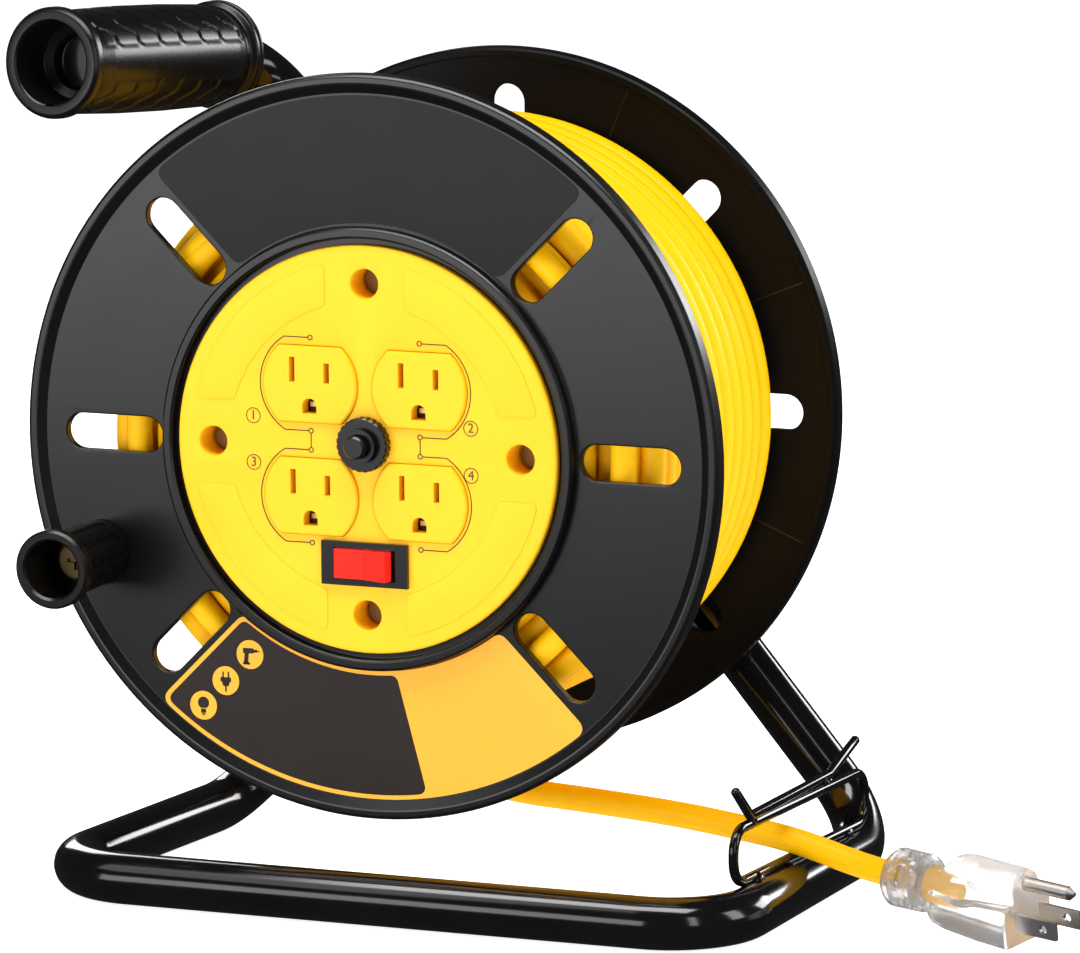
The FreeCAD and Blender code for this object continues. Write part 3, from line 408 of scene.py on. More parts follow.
def sector(inner, outer, start, end, corner, offset=0.0, steps=40):
    """A ring sector with rounded corners; offset keeps its ends parallel to those angles."""

    def angle(radius, degrees, side):
        return degrees + side * math.degrees(math.asin(offset / radius))

    points = arc((0, 0), outer, angle(outer, start, 1), angle(outer, end, -1), steps)
    points += arc((0, 0), inner, angle(inner, end, -1), angle(inner, start, 1), steps)
    return rounded_corners(points, corner)


CORNER = 0.6


def turn_at(points, index):
    """How far a closed outline turns at one of its points."""
    a, b, c = (Vector(points[(index + k) % len(points)]) for k in (-1, 0, 1))
    return (b - a).angle(c - b)


def rounded_corners(points, radius):
    """Rounds only the sharp corners of a dense outline."""
    count, out = len(points), []
    corners = [Vector(points[k]) for k in range(count) if turn_at(points, k) >= CORNER]
    for index in range(count):
        here, turn = Vector(points[index]), turn_at(points, index)
        if turn < CORNER:
            if all((here - corner).length > radius for corner in corners):
                out.append(tuple(here))
            continue
        start = walk(points, index, -1, radius * math.tan(turn / 2))
        end = walk(points, index, 1, radius * math.tan(turn / 2))
        out += rounded(start, here, end, 8)
    return out


def walk(points, index, way, distance):
    """The point at a distance along an outline from one of its points."""
    here, count = Vector(points[index]), len(points)
    while True:
        index = (index + way) % count
        there = Vector(points[index])
        step = (there - here).length
        if step >= distance:
            return here + (there - here) * (distance / step)
        distance -= step
        here = there


def bend(points, radii, step=6.0):
    """Straight runs through the points joined by arcs, as a list of points."""
    points = [Vector(p) for p in points]
    out = [points[0]]
    for index in range(1, len(points) - 1):
        here = points[index]
        before = (here - points[index - 1]).normalized()
        after = (points[index + 1] - here).normalized()
        half = before.angle(after) / 2
        radius = radii[index - 1]
        middle = here + (after - before).normalized() * (radius / math.cos(half))
        start = here - before * (radius * math.tan(half))
        steps = max(3, int(math.degrees(2 * half) / step))
        turn_axis = (start - middle).cross(here + after * (radius * math.tan(half)) - middle)
        for number in range(steps + 1):
            turned = Matrix.Rotation(2 * half * number / steps, 3, turn_axis) @ (start - middle)
            out.append(middle + turned)
    return out + [points[-1]]


def domed_tip(end, inner, radius):
    """The rings of a rod's rounded end, each a (middle, radius) pair, tip first."""
    outward = (end - inner).normalized()
    rings = []
    for degrees in (90, 70, 45, 20):
        t = math.radians(degrees)
        rings.append((end + outward * radius * (math.sin(t) - 1), radius * math.cos(t) + 1e-3))
    return rings


def sweep(path, radius, sides=40, closed=False, dome=False):
    """A round rod along a list of points; closed joins its ends, dome rounds them."""
    path = [Vector(p) for p in path]
    radii = [radius] * len(path)
    if dome:
        first = domed_tip(path[0], path[1], radius)
        last = domed_tip(path[-1], path[-2], radius)[::-1]
        radii = [r for _, r in first] + radii[1:-1] + [r for _, r in last]
        path = [p for p, _ in first] + path[1:-1] + [p for p, _ in last]
    count = len(path)
    verts, side = [], None
    for index in range(count):
        before = path[index] - path[index - 1] if index or closed else path[1] - path[0]
        after = path[(index + 1) % count] - path[index] if index < count - 1 or closed else before
        along = (before.normalized() + after.normalized()).normalized()
        if side is None:
            side = along.orthogonal().normalized()
        side = (side - along * side.dot(along)).normalized()
        other = along.cross(side)
        for number in range(sides):
            angle = 2 * math.pi * number / sides
            outward = side * math.cos(angle) + other * math.sin(angle)
            verts.append(path[index] + outward * radii[index])
    faces = grid_faces(count, sides) if closed else ring_faces(count, sides)
    return mesh_from("sweep", verts, faces, 40)


def local(mesh, matrix):
    """Moves a mesh that was drawn about the reel's centre by a matrix in millimetres."""
    to_row = Matrix.Translation(CENTRE * MM) @ Matrix.Diagonal((MM, MM, MM, 1))
    mesh.transform(to_row @ matrix @ to_row.inverted())
    return mesh


# ---------------------------------------------------------------- bent tube and wires
TUBE = 8.9
FOOT = -153.2
CORNER_BEND = 28
SEAM = 30
GRIP = 107.6
front_left, front_right = Vector((-119.5, -6.7, FOOT)), Vector((130, -6.7, FOOT))
rear_left, rear_right = Vector((-109, 136, FOOT)), Vector((128.5, 148, FOOT))
axle, handle_bend = Vector((0, 148, 0)), Vector((-110, 148, 113.3))
grip_front = Vector((-127.1, 22, 123.3))
grip_way = (grip_front - handle_bend).normalized()
grip_back = grip_front - grip_way * GRIP
left_seam = rear_left + (front_left - rear_left).normalized() * SEAM
right_seam = rear_right + (front_right - rear_right).normalized() * SEAM

foot_path = bend([left_seam, front_left, front_right, right_seam], [CORNER_BEND, CORNER_BEND])
put("tube_foot", sweep(foot_path, TUBE, 48), "frame", paint, ["frame_foot"])
strut_end = grip_front - grip_way * 20
strut_path = bend([right_seam, rear_right, axle, handle_bend, strut_end], [CORNER_BEND, 200, 22])
put("tube_diagonal", sweep(strut_path, TUBE, 48), "frame", paint, ["main_strut"])
upright_end = axle + (rear_left - axle).normalized() * 4
upright_path = bend([left_seam, rear_left, upright_end], [CORNER_BEND])
put("tube_upright", sweep(upright_path, TUBE, 48), "frame", paint, ["side_strut"])

WIRE = 1.75
LOW, HIGH, NEAR, FAR = -143.2, -124.8, (126, 15.5), (130.3, 128)
guide_corners = [(*FAR, LOW), (*FAR, HIGH), (*NEAR, HIGH), (*NEAR, LOW)]
start = (Vector(guide_corners[0]) + Vector(guide_corners[3])) / 2
loop = bend([start, *guide_corners, start], [8, 8, 8, 8], 12)[:-1]
put("wire_loop", sweep(loop, WIRE, 20, closed=True), "frame", paint, ["cord_guide"])
hook_points = [
    (128.7, 10, -109.4),
    (127.2, 28, -121.8),
    (127.2, 101, -121.8),
    (128.7, 125, -113.2),
]
hook = sweep(bend(hook_points, [4, 4], 12), WIRE, 20, dome=True)
put("wire_hook", hook, "frame", paint, ["plug_hook"])


def ball(spot, sizes, columns, lumps=0.0, seed=0.0, sharp=60):
    """A ball with its own size along each axis; lumps make it uneven."""
    rows = 12
    verts = []
    for row in range(rows + 1):
        lift = math.pi * (row + 0.02) / (rows + 0.04)
        for column in range(columns):
            turn = 2 * math.pi * column / columns
            flat = math.sin(lift)
            out = Vector((flat * math.cos(turn), flat * math.sin(turn), math.cos(lift)))
            grow = 1 + lumps * noise.noise(out * 1.7 + Vector((seed, 0, 0)))
            verts.append(Vector(spot) + Vector(out[k] * sizes[k] for k in range(3)) * grow)
    faces = [face[::-1] for face in grid_faces(rows + 1, columns, wrap_rows=False)]
    return mesh_from("ball", verts, faces, sharp)


# lumps of weld where the wires meet the tube and each other
LUMPS = 0.22
beads = [
    ball((127.3, 33, -144.2), (2.9, 3.4, 2.4), 20, LUMPS, 1.0),
    ball((129.6, 112, -144.0), (2.6, 3.4, 2.2), 20, LUMPS, 2.0),
    ball((126.9, 30, -123.4), (1.9, 2.8, 1.9), 20, LUMPS, 3.0),
    ball((128.4, 97, -123.4), (1.9, 2.8, 1.9), 20, LUMPS, 4.0),
]
put("weld_beads", merged("weld_beads", beads, 60), "frame", paint)


# ---------------------------------------------------------------- handle grip
def segment_distance(p, a, b):
    """Distance of a 2-D point from a segment."""
    along = b - a
    t = max(0.0, min(1.0, (p - a).dot(along) / along.length_squared))
    return (p - a - along * t).length


def groove(s, around):
    """Depth of the scale-like grooves at a place on the grip, both in millimetres."""
    deepest = 0.0
    pitch, row_height = 13.0, 7.4
    row = math.floor(around / row_height)
    for number in (row - 1, row, row + 1):
        base = number * row_height
        shift = (number % 2) * pitch / 2
        cell = math.floor((s - shift) / pitch)
        for step in (cell - 1, cell, cell + 1):
            a = Vector((shift + step * pitch, base))
            b = a + Vector((0, row_height * 0.42))
            c = b + Vector((-pitch * 0.5, row_height * 0.58))
            p = Vector((s, around))
            gap = min(segment_distance(p, a, b), segment_distance(p, b, c))
            deepest = max(deepest, 1 - min(1, gap / 0.75))
    return deepest


SCALES_START, SCALES_END = 8.5, 99.5
BORE = 15
NOTCH = 15.6
QUARTER = 28.3


def grip_outline():
    """The sleeve's closed outline as (radius, place) pairs, dense where it has scales."""
    corners = soften(
        [
            *[(9.2, 0), (17.6, 0, 1.2), (19.3, 1.2, 1.2), (19.3, 2.3, 0.5), (18.4, 2.8, 0.6)],
            *[(19.1, 3.4, 0.5), (19.1, 4.9, 1.0), (16.9, 6.2, 1.0), (16.8, 8.0, 2), (17.6, 14, 12)],
            *[(18.2, 40, 60), (18.2, 68, 60), (17.6, 93, 12), (16.8, 99.6, 2), (16.9, 101.4, 1.0)],
            *[(19.0, 102.4, 0.8), (19.3, 103.4, 0.8), (19.3, 106.2, 1.3), (18.0, 107.6, 1.0)],
            *[(15.0, 107.6, 0.5), (14.3, 107.0, 0.5), (13.9, 96, 1.0), (13.0, 92.0, 1.0)],
            *[(9.8, 90.6, 0.6), (9.1, 88.6, 0.5), (9.1, 60, 0.1)],
        ],
        1.0,
        4,
    )
    stations = []
    for index, (r, s) in enumerate(corners):
        nr, ns = corners[(index + 1) % len(corners)]
        stations.append((r, s))
        gap = math.hypot(nr - r, ns - s)
        if gap > 1.2 and r > 15.5 and nr > 15.5:
            extra = int(gap / 0.6)
            shares = [k / extra for k in range(1, extra)]
            stations += [(r + (nr - r) * share, s + (ns - s) * share) for share in shares]
    return stations


def grip_radius(radius, s, turn):
    """The sleeve's radius at a place along it and round it, with scales and notches."""
    height, across = math.sin(turn), math.cos(turn)
    if SCALES_START < s < SCALES_END and radius > BORE:
        strip = max(0.0, min(1.0, (abs(height) - 0.30) / 0.10))
        fade = min(1.0, (s - SCALES_START) / 3, (SCALES_END - s) / 3)
        around = QUARTER * abs(math.degrees(math.asin(min(1, max(-1, height))))) / 90
        facing = 1 if across > 0 else -1
        return radius + strip * fade * (0.45 - 0.85 * groove(s, around * facing + 40))
    if radius < BORE and 100 < s < 107.5 and abs(across) < 0.11:
        return NOTCH
    return radius


def grip_mesh():
    """The sleeve: two ringed rims, a slim waist by each, and scaled strips up and down."""
    side = grip_way.cross(Vector((0, 0, 1))).normalized()
    lift = side.cross(grip_way)
    columns = 216
    verts, stations = [], grip_outline()
    for r, s in stations:
        for column in range(columns):
            turn = 2 * math.pi * column / columns
            outward = side * math.cos(turn) + lift * math.sin(turn)
            verts.append(grip_back + grip_way * s + outward * grip_radius(r, s, turn))
    return mesh_from("grip", verts, grid_faces(len(stations), columns), 50)


put("grip_sleeve", grip_mesh(), "frame", grip_black, ["handle_grip"])

# ---------------------------------------------------------------- reel
SLOT_ANGLES = [0, 45, 135, 180, 225, 315]
SLOT_WIDTH = 12.4


def slot_cutters(angles, inner, outer, front, back, edge):
    """Cutters for the slots in a disc, one at each angle."""
    levels = cut_levels(front, back, edge)
    return [prism(stadium(inner, outer, SLOT_WIDTH, angle), levels) for angle in angles]


def flange_mesh():
    """The front disc: rolled rim, sloped step down to the face, ring round the plate."""
    outline = soften(
        [
            *[(64, 1.8, 0), (71.8, 1.8, 0.3), (71.8, -1.7, 0.5), (72.5, -2.2, 0.5)],
            *[(74.8, -2.2, 0.7), (75.5, -1.4, 0.7), (75.7, 1.8, 0.5), (120.6, 1.8, 0.6)],
            *[(123.6, 0.1, 0.4), (124.2, 0.0, 0.4), (126.0, 0.0, 1.0), (127, 1.0, 1.0)],
            *[(127, 6, 1.0), (126, 7, 1.0), (123.8, 7, 0.5), (123.8, 5, 0.3), (64, 5, 0)],
        ],
        0.4,
    )
    body = lathe(outline, 256)
    return carved(body, slot_cutters(SLOT_ANGLES, 76.9, 113.0, 1.8, 9, 0.55))


put("reel_front", flange_mesh(), "reel", satin_black, ["front_flange"])


def back_flange_mesh():
    """The back disc: a flat face with eight slots and a rolled rim."""
    outline = soften(
        [
            *[(16.3, 122.5, 0), (119.5, 122.5, 0.3), (119.5, 121.5, 0.3), (121.7, 121.5, 0.8)],
            *[(122.7, 122.5, 0.8), (122.7, 127.5, 0.8), (121.7, 128.5, 0.8)],
            *[(119.5, 128.5, 0.5), (116.5, 125.7, 1.0), (16.3, 125.7, 0)],
        ],
        0.4,
    )
    body = lathe(outline, 256)
    return carved(body, slot_cutters(range(0, 360, 45), 76.9, 109.8, 122.5, 130, 0.5))


put("reel_back", back_flange_mesh(), "reel", back_black, ["back_flange"])
seams = []
for number in range(8):
    spokes = [polar(radius, 22.5 + 45 * number, 122.45) for radius in (94, 119)]
    seams.append(sweep(spokes, 0.3, 8))
put("reel_back_seams", merged("seams", seams), "reel", satin_black)

# face plate, its panels, outlets and prints
PLATE = -1.2
OUTLET_X, UPPER_ROW, LOWER_ROW = 20.05, 21.4, -16.9
OUTLETS = [(side * OUTLET_X, row) for row in (UPPER_ROW, LOWER_ROW) for side in (-1, 1)]
SWITCH = (-0.3, -38.9)
BREAKER = (0, 2.2)
WELLS = [(56.5, 0), (0, 56.5), (-56.5, 0), (0, -56.5)]


def outlet_outline(x, z, radius, half):
    """A circle with flat top and bottom, anticlockwise."""
    lean = math.degrees(math.asin(half / radius))
    right_side = arc((x, z), radius, -lean, lean, 20)
    left_side = arc((x, z), radius, 180 - lean, 180 + lean, 20)
    return soften([(*p, 0) for p in right_side[1:-1] + left_side[1:-1]], 0)


def box_outline(x, z, width, height, corner=0.0):
    """An upright rectangle about a point."""
    left, right_edge, low, high = x - width / 2, x + width / 2, z - height / 2, z + height / 2
    corners = [(left, low), (right_edge, low), (right_edge, high), (left, high)]
    return soften(corners, corner) if corner else corners


def face_plate_mesh():
    """The plate's disc, with holes for the outlets, the breaker, the switch and the screws."""
    outline = soften([(3, PLATE, 0), (69.6, PLATE, 1.3), (69.6, 1.8, 0.2), (3, 1.8, 0)], 0.3)
    through = [(-5, 0), (4, 0)]
    soft_edge = cut_levels(PLATE, 4, 0.35)
    cutters = [prism(outlet_outline(x, z, 17.45, 14.2), soft_edge) for x, z in OUTLETS]
    cutters.append(prism(ring_outline(6.1, BREAKER), through))
    cutters.append(prism(box_outline(*SWITCH, 28.4, 12.8), through))
    cutters += [prism(ring_outline(5.1, well, 40), cut_levels(PLATE, 4, 0.6)) for well in WELLS]
    return carved(lathe(outline, 256), cutters)


def well_mesh(x, z):
    """The tube below a screw hole, with its floor and the small hole in it."""
    corners = [(5.1, 1.0, 0), (6.6, 1.0, 0), (6.6, 14, 0.3), (2.0, 14, 0.2), (2.0, 12, 0.2)]
    return lathe(soften(corners + [(4.9, 12, 0.5)], 0.3, 3), 48, (x, z))


plate = merged("plate", [face_plate_mesh()] + [well_mesh(x, z) for x, z in WELLS])
put("face_plate_skin", plate, "reel", yellow, ["face_plate"])
panels = []
for start in (0, 90, 180, 270):
    shape = sector(50.5, 64.5, start, start + 90, 2.2, 14.5)
    panels.append(prism(shape, round_edge(PLATE - 0.32, PLATE + 0.4, 0.25, 3)))
put("face_plate_panels", merged("panels", panels), "reel", yellow)


def outlet_mesh(x, z):
    """The raised face of an outlet: two upright slots and a round-topped ground hole."""
    body = prism(outlet_outline(x, z, 17.3, 14.05), round_edge(-2.5, 2.5, 1.0, 5))
    slot_low = z + 0.65
    long, short, apart, ground = 8.5, 6.9, 6.35, 2.6
    ground_foot = z - 7.3 - ground
    ground_hole = arc((x, z - 7.3), ground, 0, 180, 16)
    holes = [
        box_outline(x - apart, slot_low + long / 2, 2.0, long, 0.15),
        box_outline(x + apart, slot_low + short / 2, 2.0, short, 0.15),
        ground_hole + [(x - ground, ground_foot), (x + ground, ground_foot)],
    ]
    return carved(body, [prism(hole, cut_levels(-2.5, 5, 0.15, 2)) for hole in holes])


for number, (x, z) in enumerate(OUTLETS):
    put(f"outlet_face_{number + 1}", outlet_mesh(x, z), "reel", yellow, [f"outlet_{number + 1}"])
blocks = [prism(outlet_outline(x, z, 17.0, 13.8), [(2.6, 0), (9, 0)]) for x, z in OUTLETS]
put("outlet_blocks", merged("blocks", blocks), "reel", inner_black)


def printed(points, closed=False, width=0.2, y=PLATE):
    """A thin printed line on a flat face."""
    return sweep([(x, y, z) for x, z in points], width, 8, closed)


def digit(text, x, z, size, y):
    """A plain number, facing the front."""
    data = bpy.data.curves.new("digit", "FONT")
    data.body = text
    data.size = size
    data.align_x, data.align_y = "CENTER", "CENTER"
    data.extrude = 0.06
    ghost = bpy.data.objects.new("digit", data)
    mesh = bpy.data.meshes.new_from_object(ghost)
    bpy.data.objects.remove(ghost)
    upright = Matrix.Rotation(math.pi / 2, 4, "X") @ Matrix.Scale(MM, 4)
    mesh.transform(Matrix.Translation(at(x, y, z)) @ upright)
    return mesh


# a line round the outer side of each outlet, with a small ring on both ends
REACH, HALF_HEIGHT = 18.6, 15.9
LEAN = math.degrees(math.asin(HALF_HEIGHT / REACH))
NUMBERS = [(-41.4, 9.6), (38.6, 9.6), (-41.4, -6.4), (38.6, -6.4)]
marks = []
for side in (-1, 1):
    x = OUTLET_X * side
    ends = (LEAN, -LEAN) if side > 0 else (180 - LEAN, 180 + LEAN)
    for z in (UPPER_ROW, LOWER_ROW):
        tips = [(x + side * 0.9, z + HALF_HEIGHT), (x + side * 0.9, z - HALF_HEIGHT)]
        marks.append(printed([tips[0], *arc((x, z), REACH, *ends), tips[1]]))
        for s in (-1, 1):
            marks.append(printed(ring_outline(0.8, (x, z + s * HALF_HEIGHT), 20), True))
    marks.append(printed([(x, UPPER_ROW - 16.9), (x, 0)]))
for number, (x, z) in enumerate(NUMBERS):
    marks.append(printed(ring_outline(2.55, (x, z), 32), True, 0.17))
    marks.append(digit(str(number + 1), x, z, 4.6, PLATE - 0.04))
put("face_plate_marks", merged("marks", marks), "reel", line_print)

# labels
FACE = 1.8


def flat_on_face(outline, lift):
    """A thin sheet that stands a little proud of the front flange."""
    return prism(outline, [(FACE - lift, 0), (FACE + 0.1, 0)])


upper = sector(76.6, 119.8, 45, 135, 4, 8.5)
put("upper_label_sheet", flat_on_face(upper, 0.2), "reel", gloss_black, ["upper_label"])
lower = sector(76.0, 120.2, 225, 315, 4, 8.5)
put("lower_label_sheet", flat_on_face(lower, 0.2), "reel", gold_print, ["lower_label"])


def dark_panel():
    """The dark left part of the lower label, inside a thin gold border."""
    outer, inner, border = 118.7, 77.5, 10.1
    outer_start, inner_end = (225 + math.degrees(math.asin(border / r)) for r in (outer, inner))
    points = arc((0, 0), outer, outer_start, 279.8, 40)
    points += arc((0, 0), inner, 276.9, inner_end, 40)
    return rounded_corners(points, 3.0)


put("lower_label_dark", flat_on_face(dark_panel(), 0.27), "reel", dark_print)


def on_face(points, radius, degrees):
    """Points drawn upright, moved to a place on the face given by radius and angle."""
    x0, _, z0 = polar(radius, degrees)
    return [(x + x0, z + z0) for x, z in points]


SIGNS = [(111.6, 235.8), (99.3, 236.9), (86.2, 238.5)]
discs = [flat_on_face(ring_outline(5.0, polar(*spot)[::2], 40), 0.33) for spot in SIGNS]
put("label_discs", merged("discs", discs), "reel", gold_print)


def sign_parts():
    """Plain pictures for the discs: a bulb, a plug and a drill."""
    bulb = [
        arc((0, 0.9), 2.1, -60, 240, 24),
        box_outline(0, -1.9, 1.9, 1.5, 0.3),
        box_outline(0, -3.1, 1.3, 0.5, 0.1),
    ]
    plug = [
        soften([(-2, -0.4), (2, -0.4), (2, 1.2), (-2, 1.2)], 0.4),
        box_outline(-1.0, 2.0, 0.6, 2.2),
        box_outline(1.0, 2.0, 0.6, 2.2),
        soften([(-1.0, -1.9), (1.0, -1.9), (1.6, -0.2), (-1.6, -0.2)], 0.3),
        box_outline(0, -2.8, 0.6, 2.0),
    ]
    drill = [
        soften([(-2.6, 0.4), (1.4, 0.4), (1.4, 2.2), (-2.6, 2.2)], 0.4),
        box_outline(2.0, 1.3, 1.4, 1.0, 0.2),
        box_outline(3.0, 1.3, 1.2, 0.35),
        soften([(-2.3, -3.0), (-0.7, -3.0), (-0.4, 0.6), (-2.0, 0.6)], 0.3),
        box_outline(-1.3, -3.1, 2.6, 0.9, 0.3),
    ]
    return zip((bulb, plug, drill), SIGNS)


pictures = []
for parts, spot in sign_parts():
    pictures += [flat_on_face(on_face(part, *spot), 0.39) for part in parts]
put("label_pictures", merged("pictures", pictures), "reel", dark_print)

# ---------------------------------------------------------------- plug
PLUG = Matrix.Translation((221.2, 41.3, -148.1)) @ (
    Matrix.Rotation(math.radians(-20), 4, "Z")
    @ Matrix.Rotation(math.radians(2.2), 4, "Y")
    @ Matrix.Rotation(math.radians(8.3), 4, "X")
)


def loft(sections, sharp=60):
    """A solid through outlines of (y, z) points, each at its own x along the plug."""
    verts = [(x, y, z) for x, outline in sections for y, z in outline]
    return mesh_from("loft", verts, ring_faces(len(sections), len(sections[0][1])), sharp)


def block_section(half, low, high):
    """A section of the plug's block, with rounded corners."""
    return soften([(-half, low), (half, low), (half, high), (-half, high)], 2.2, 4)


def plug_mesh():
    """The moulded body: a block for the blades, a barrel over the ground pin, a neck."""
    block = loft(
        [
            (-38, block_section(8.0, -8.2, 1.0)),
            (-35, block_section(10.2, -9.4, 1.6)),
            (-28, block_section(11.6, -10.4, 2.0)),
            (-14, block_section(12.2, -11.6, 2.2)),
            (-0.6, block_section(12.3, -12.3, 2.4)),
            (0, block_section(11.9, -11.9, 2.0)),
        ]
    )
    barrel = loft(
        [
            (-37, ring_outline(5.2, (0, 0.5), 40)),
            (-33, ring_outline(7.4, (0, 2.4), 40)),
            (-29, ring_outline(8.9, (0, 4.0), 40)),
            (-24, ring_outline(9.4, (0, 4.4), 40)),
            (-10, ring_outline(8.8, (0, 4.5), 40)),
            (-0.6, ring_outline(7.6, (0, 5.6), 40)),
            (0, ring_outline(7.2, (0, 5.6), 40)),
        ]
    )
    neck = loft(
        [
            (-44, ring_outline(7.4, (0, 0), 40)),
            (-36, ring_outline(7.0, (0, 0), 40)),
            (-30, ring_outline(6.5, (0, 0), 40)),
        ]
    )
    fine_voxels = ("REMESH", {"mode": "VOXEL", "voxel_size": 0.5 * MM})
    body = changed(merged("plug", [block, barrel, neck]), [fine_voxels], 80)
    recesses = [ball((-20.5, side * 12.2, 5.4), (9.5, 4.8, 5.2), 24, sharp=32) for side in (-1, 1)]
    tool = bpy.data.objects.new("recess", changed(merged("recess", recesses), [fine_voxels]))
    bpy.context.scene.collection.objects.link(tool)
    steps = [
        ("BOOLEAN", {"operation": "DIFFERENCE", "solver": "EXACT", "object": tool}),
        ("REMESH", {"mode": "VOXEL", "voxel_size": 0.45 * MM}),
        ("SMOOTH", {"factor": 0.5, "iterations": 6}),
    ]
    body = changed(body, steps, 80)
    bpy.data.objects.remove(tool)
    return local(body, PLUG)


def relief_mesh():
    """The strain relief: a collar with staggered slots right through to the cord."""
    corners = [
        *[(4.6, -57.5, 0.5), (8.8, -57.5, 1.2), (10.2, -55.8, 1.2)],
        *[(10.0, -43.5, 1.0), (8.2, -42.0, 0.6), (4.6, -42.0, 0)],
    ]
    body = local(lathe(soften(corners, 0.6), 96), Matrix.Rotation(-math.pi / 2, 4, "Z"))
    first, apart, columns, round_it = -54.4, 4.6, 3, 4
    cutters = []
    for column in range(columns):
        stagger = 45 if column % 2 else 0
        for number in range(round_it):
            tool = prism(box_outline(0, 0, 2.0, 8.4, 0.95), [(-14, 0), (-6.0, 0)])
            spin = Matrix.Rotation(math.radians(90 * number + stagger + 20), 4, "X")
            local(tool, Matrix.Translation((first + apart * column, 0, 0)) @ spin)
            cutters.append(tool)
    return local(carved(body, cutters, 45), PLUG)


put("plug_moulding", plug_mesh(), "frame", clear_vinyl, ["plug_body"])
put("plug_collar", relief_mesh(), "frame", clear_vinyl, ["plug_strain_relief"])

# ---------------------------------------------------------------- cord
CORD = 8.9


def cord_piece(name, points, body):
    """A smooth cord through control points in millimetres about the reel's centre."""
    data = bpy.data.curves.new(name, "CURVE")
    data.dimensions = "3D"
    data.bevel_depth = CORD / 2 * MM
    data.bevel_resolution = 6
    data.resolution_u = 6
    data.use_fill_caps = True
    spline = data.splines.new("NURBS")
    spline.points.add(len(points) - 1)
    for target, p in zip(spline.points, points):
        target.co = (*at(*p), 1)
    spline.order_u = 3
    spline.use_endpoint_u = True
    piece = bpy.data.objects.new(name, data)
    bpy.context.scene.collection.objects.link(piece)
    data.materials.append(cord_yellow)
    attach(piece, body)
    return piece


def wind():
    """The route of the winding: layers of turns from the drum out, back and forth."""
    per_turn = 24
    low, high = 5.3 + CORD / 2, 122.2 - CORD / 2
    first_turns = 4.9
    layers = [(74.65, first_turns), (82.35, 13.0), (90.1, 13.0), (97.85, 12.6)]
    pitch = (high - low) / 12.4
    points, way, angle = [], -1, math.radians(90)
    y = low + first_turns * pitch
    for number, (radius, count) in enumerate(layers):
        for step in range(int(count * per_turn)):
            t = step / per_turn
            inner = layers[number - 1][0] if number else radius
            rise = min(1.0, t / 0.6)
            r = inner + (radius - inner) * rise * rise * (3 - 2 * rise)
            drift = 0.25 * math.sin(3.1 * t + number) + 0.18 * math.sin(7.3 * t + 2 * number)
            depth = min(max(y + drift, low), high)
            points.append((r * math.cos(angle), depth, r * math.sin(angle)))
            angle += 2 * math.pi / per_turn
            y = min(max(y + way * pitch / per_turn, low), high)
        way = -way
    return points


turns = wind()
winding = cord_piece("wound_cord", turns, "reel")
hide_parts("cord_winding")
tail_points = [
    (-64, 60, -86),
    (-38, 60, -104.5),
    (-8, 60, -118.5),
    (24, 60, -126.3),
    (56, 60.3, -128),
    (88, 61.3, -130.6),
    (112, 62.5, -134),
    (131, 64.2, -137.4),
    (149.6, 66.3, -143.8),
    tuple(PLUG @ Vector((-57.5, 0, 0))),
    tuple(PLUG @ Vector((-26, 0, 0))),
]
tail = cord_piece("free_cord", tail_points, "frame")
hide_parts("cord_tail")


# ---------------------------------------------------------------- camera, floor and light
camera = bpy.data.objects.new("camera", bpy.data.cameras.new("camera"))
bpy.context.scene.collection.objects.link(camera)
bpy.context.scene.camera = camera
azimuth, elevation, roll = math.radians(22.92), math.radians(9.66), math.radians(-0.39)
back = Vector(
    (
        math.sin(azimuth) * math.cos(elevation),
        -math.cos(azimuth) * math.cos(elevation),
        math.sin(elevation),
    )
)
right = Vector((math.cos(azimuth), math.sin(azimuth), 0))
up = back.cross(right)
across = right * math.cos(roll) + up * math.sin(roll)
upward = up * math.cos(roll) - right * math.sin(roll)
place = at(*(across * 58.2 + upward * -9.0 + back * 2826.0))
camera.matrix_world = Matrix.Translation(place) @ Matrix((across, upward, back)).transposed().to_4x4()
camera.data.sensor_width = 36
camera.data.lens = 280
camera.data.clip_end = 60


def area_light(name, direction, distance, size, size_y, power):
    """A soft box that faces the middle of the reel from a direction."""
    data = bpy.data.lights.new(name, "AREA")
    data.shape = "RECTANGLE"
    data.size, data.size_y, data.energy = size, size_y, power
    light = bpy.data.objects.new(name, data)
    bpy.context.scene.collection.objects.link(light)
    direction = Vector(direction).normalized()
    light.location = Vector((0.0, 0.0, 0.15)) + direction * distance
    light.rotation_mode = "QUATERNION"
    light.rotation_quaternion = direction.to_track_quat("Z", "Y")


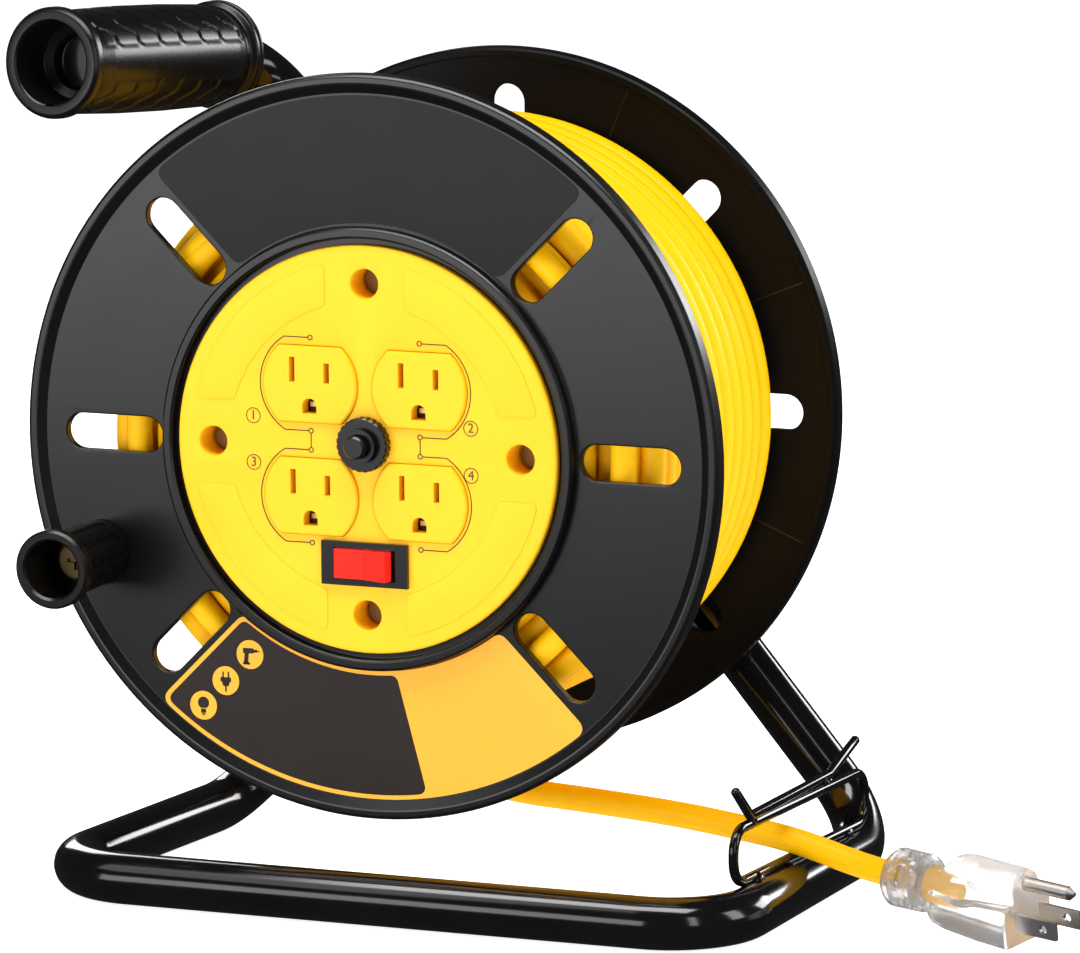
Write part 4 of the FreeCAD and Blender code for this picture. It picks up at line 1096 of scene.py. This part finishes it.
area_light("key", (-0.75, -0.8, 1.0), 1.7, 0.8, 0.7, 3)
area_light("front_left", (-0.45, -1.0, 0.06), 1.35, 0.95, 0.44, 5.2)
area_light("front_right", (0.9, -0.9, 0.35), 1.9, 0.25, 1.2, 4)
area_light("top", (0.0, -0.35, 1.0), 1.4, 1.4, 0.5, 24)
area_light("right", (1.0, 0.05, 0.35), 1.9, 0.5, 1.0, 9)
area_light("back_right", (0.56, 0.78, 0.30), 1.8, 0.9, 0.5, 16)
area_light("back_left", (-0.8, 0.9, 0.5), 1.9, 0.5, 0.9, 10)

world = bpy.data.worlds.new("studio")
bpy.context.scene.world = world
world.use_nodes = True
sky = world.node_tree
make, link = sky.nodes.new, sky.links.new


def backdrop(strength):
    """An even white surrounding of a given strength."""
    background = make("ShaderNodeBackground")
    background.inputs["Color"].default_value = (1, 1, 1, 1)
    background.inputs["Strength"].default_value = strength
    return background.outputs[0]


def either(choice, no, yes):
    """One of two surroundings, by the kind of light ray."""
    mix = make("ShaderNodeMixShader")
    for socket, source in zip(mix.inputs, (choice, no, yes)):
        link(source, socket)
    return mix.outputs[0]


# reflections see a dark studio, so that black stays black; the view itself is on white
rays = make("ShaderNodeLightPath").outputs
lighting = either(rays["Is Glossy Ray"], backdrop(0.22), backdrop(0.03))
surroundings = either(rays["Is Camera Ray"], lighting, backdrop(1.0))
link(surroundings, sky.nodes["World Output"].inputs["Surface"])
bpy.context.scene.view_settings.view_transform = "Standard"

EXTENT, UNDER = 6, -0.0003
floor_mesh = bpy.data.meshes.new("floor")
signs = [(-1, -1), (1, -1), (1, 1), (-1, 1)]
floor_corners = [(x * EXTENT, y * EXTENT, UNDER) for x, y in signs]
floor_mesh.from_pydata(floor_corners, [], [(0, 1, 2, 3)])
floor = bpy.data.objects.new("floor", floor_mesh)
bpy.context.scene.collection.objects.link(floor)
pale = plastic(
    "pale_floor",
    (0.9, 0.9, 0.9),
    0.6,
    0.005,
    0.05,
    300,
    0.02,
    Emission_Color=(1, 1, 1, 1),
    Emission_Strength=0.9,
)
floor_mesh.materials.append(pale)
floor.visible_glossy = False
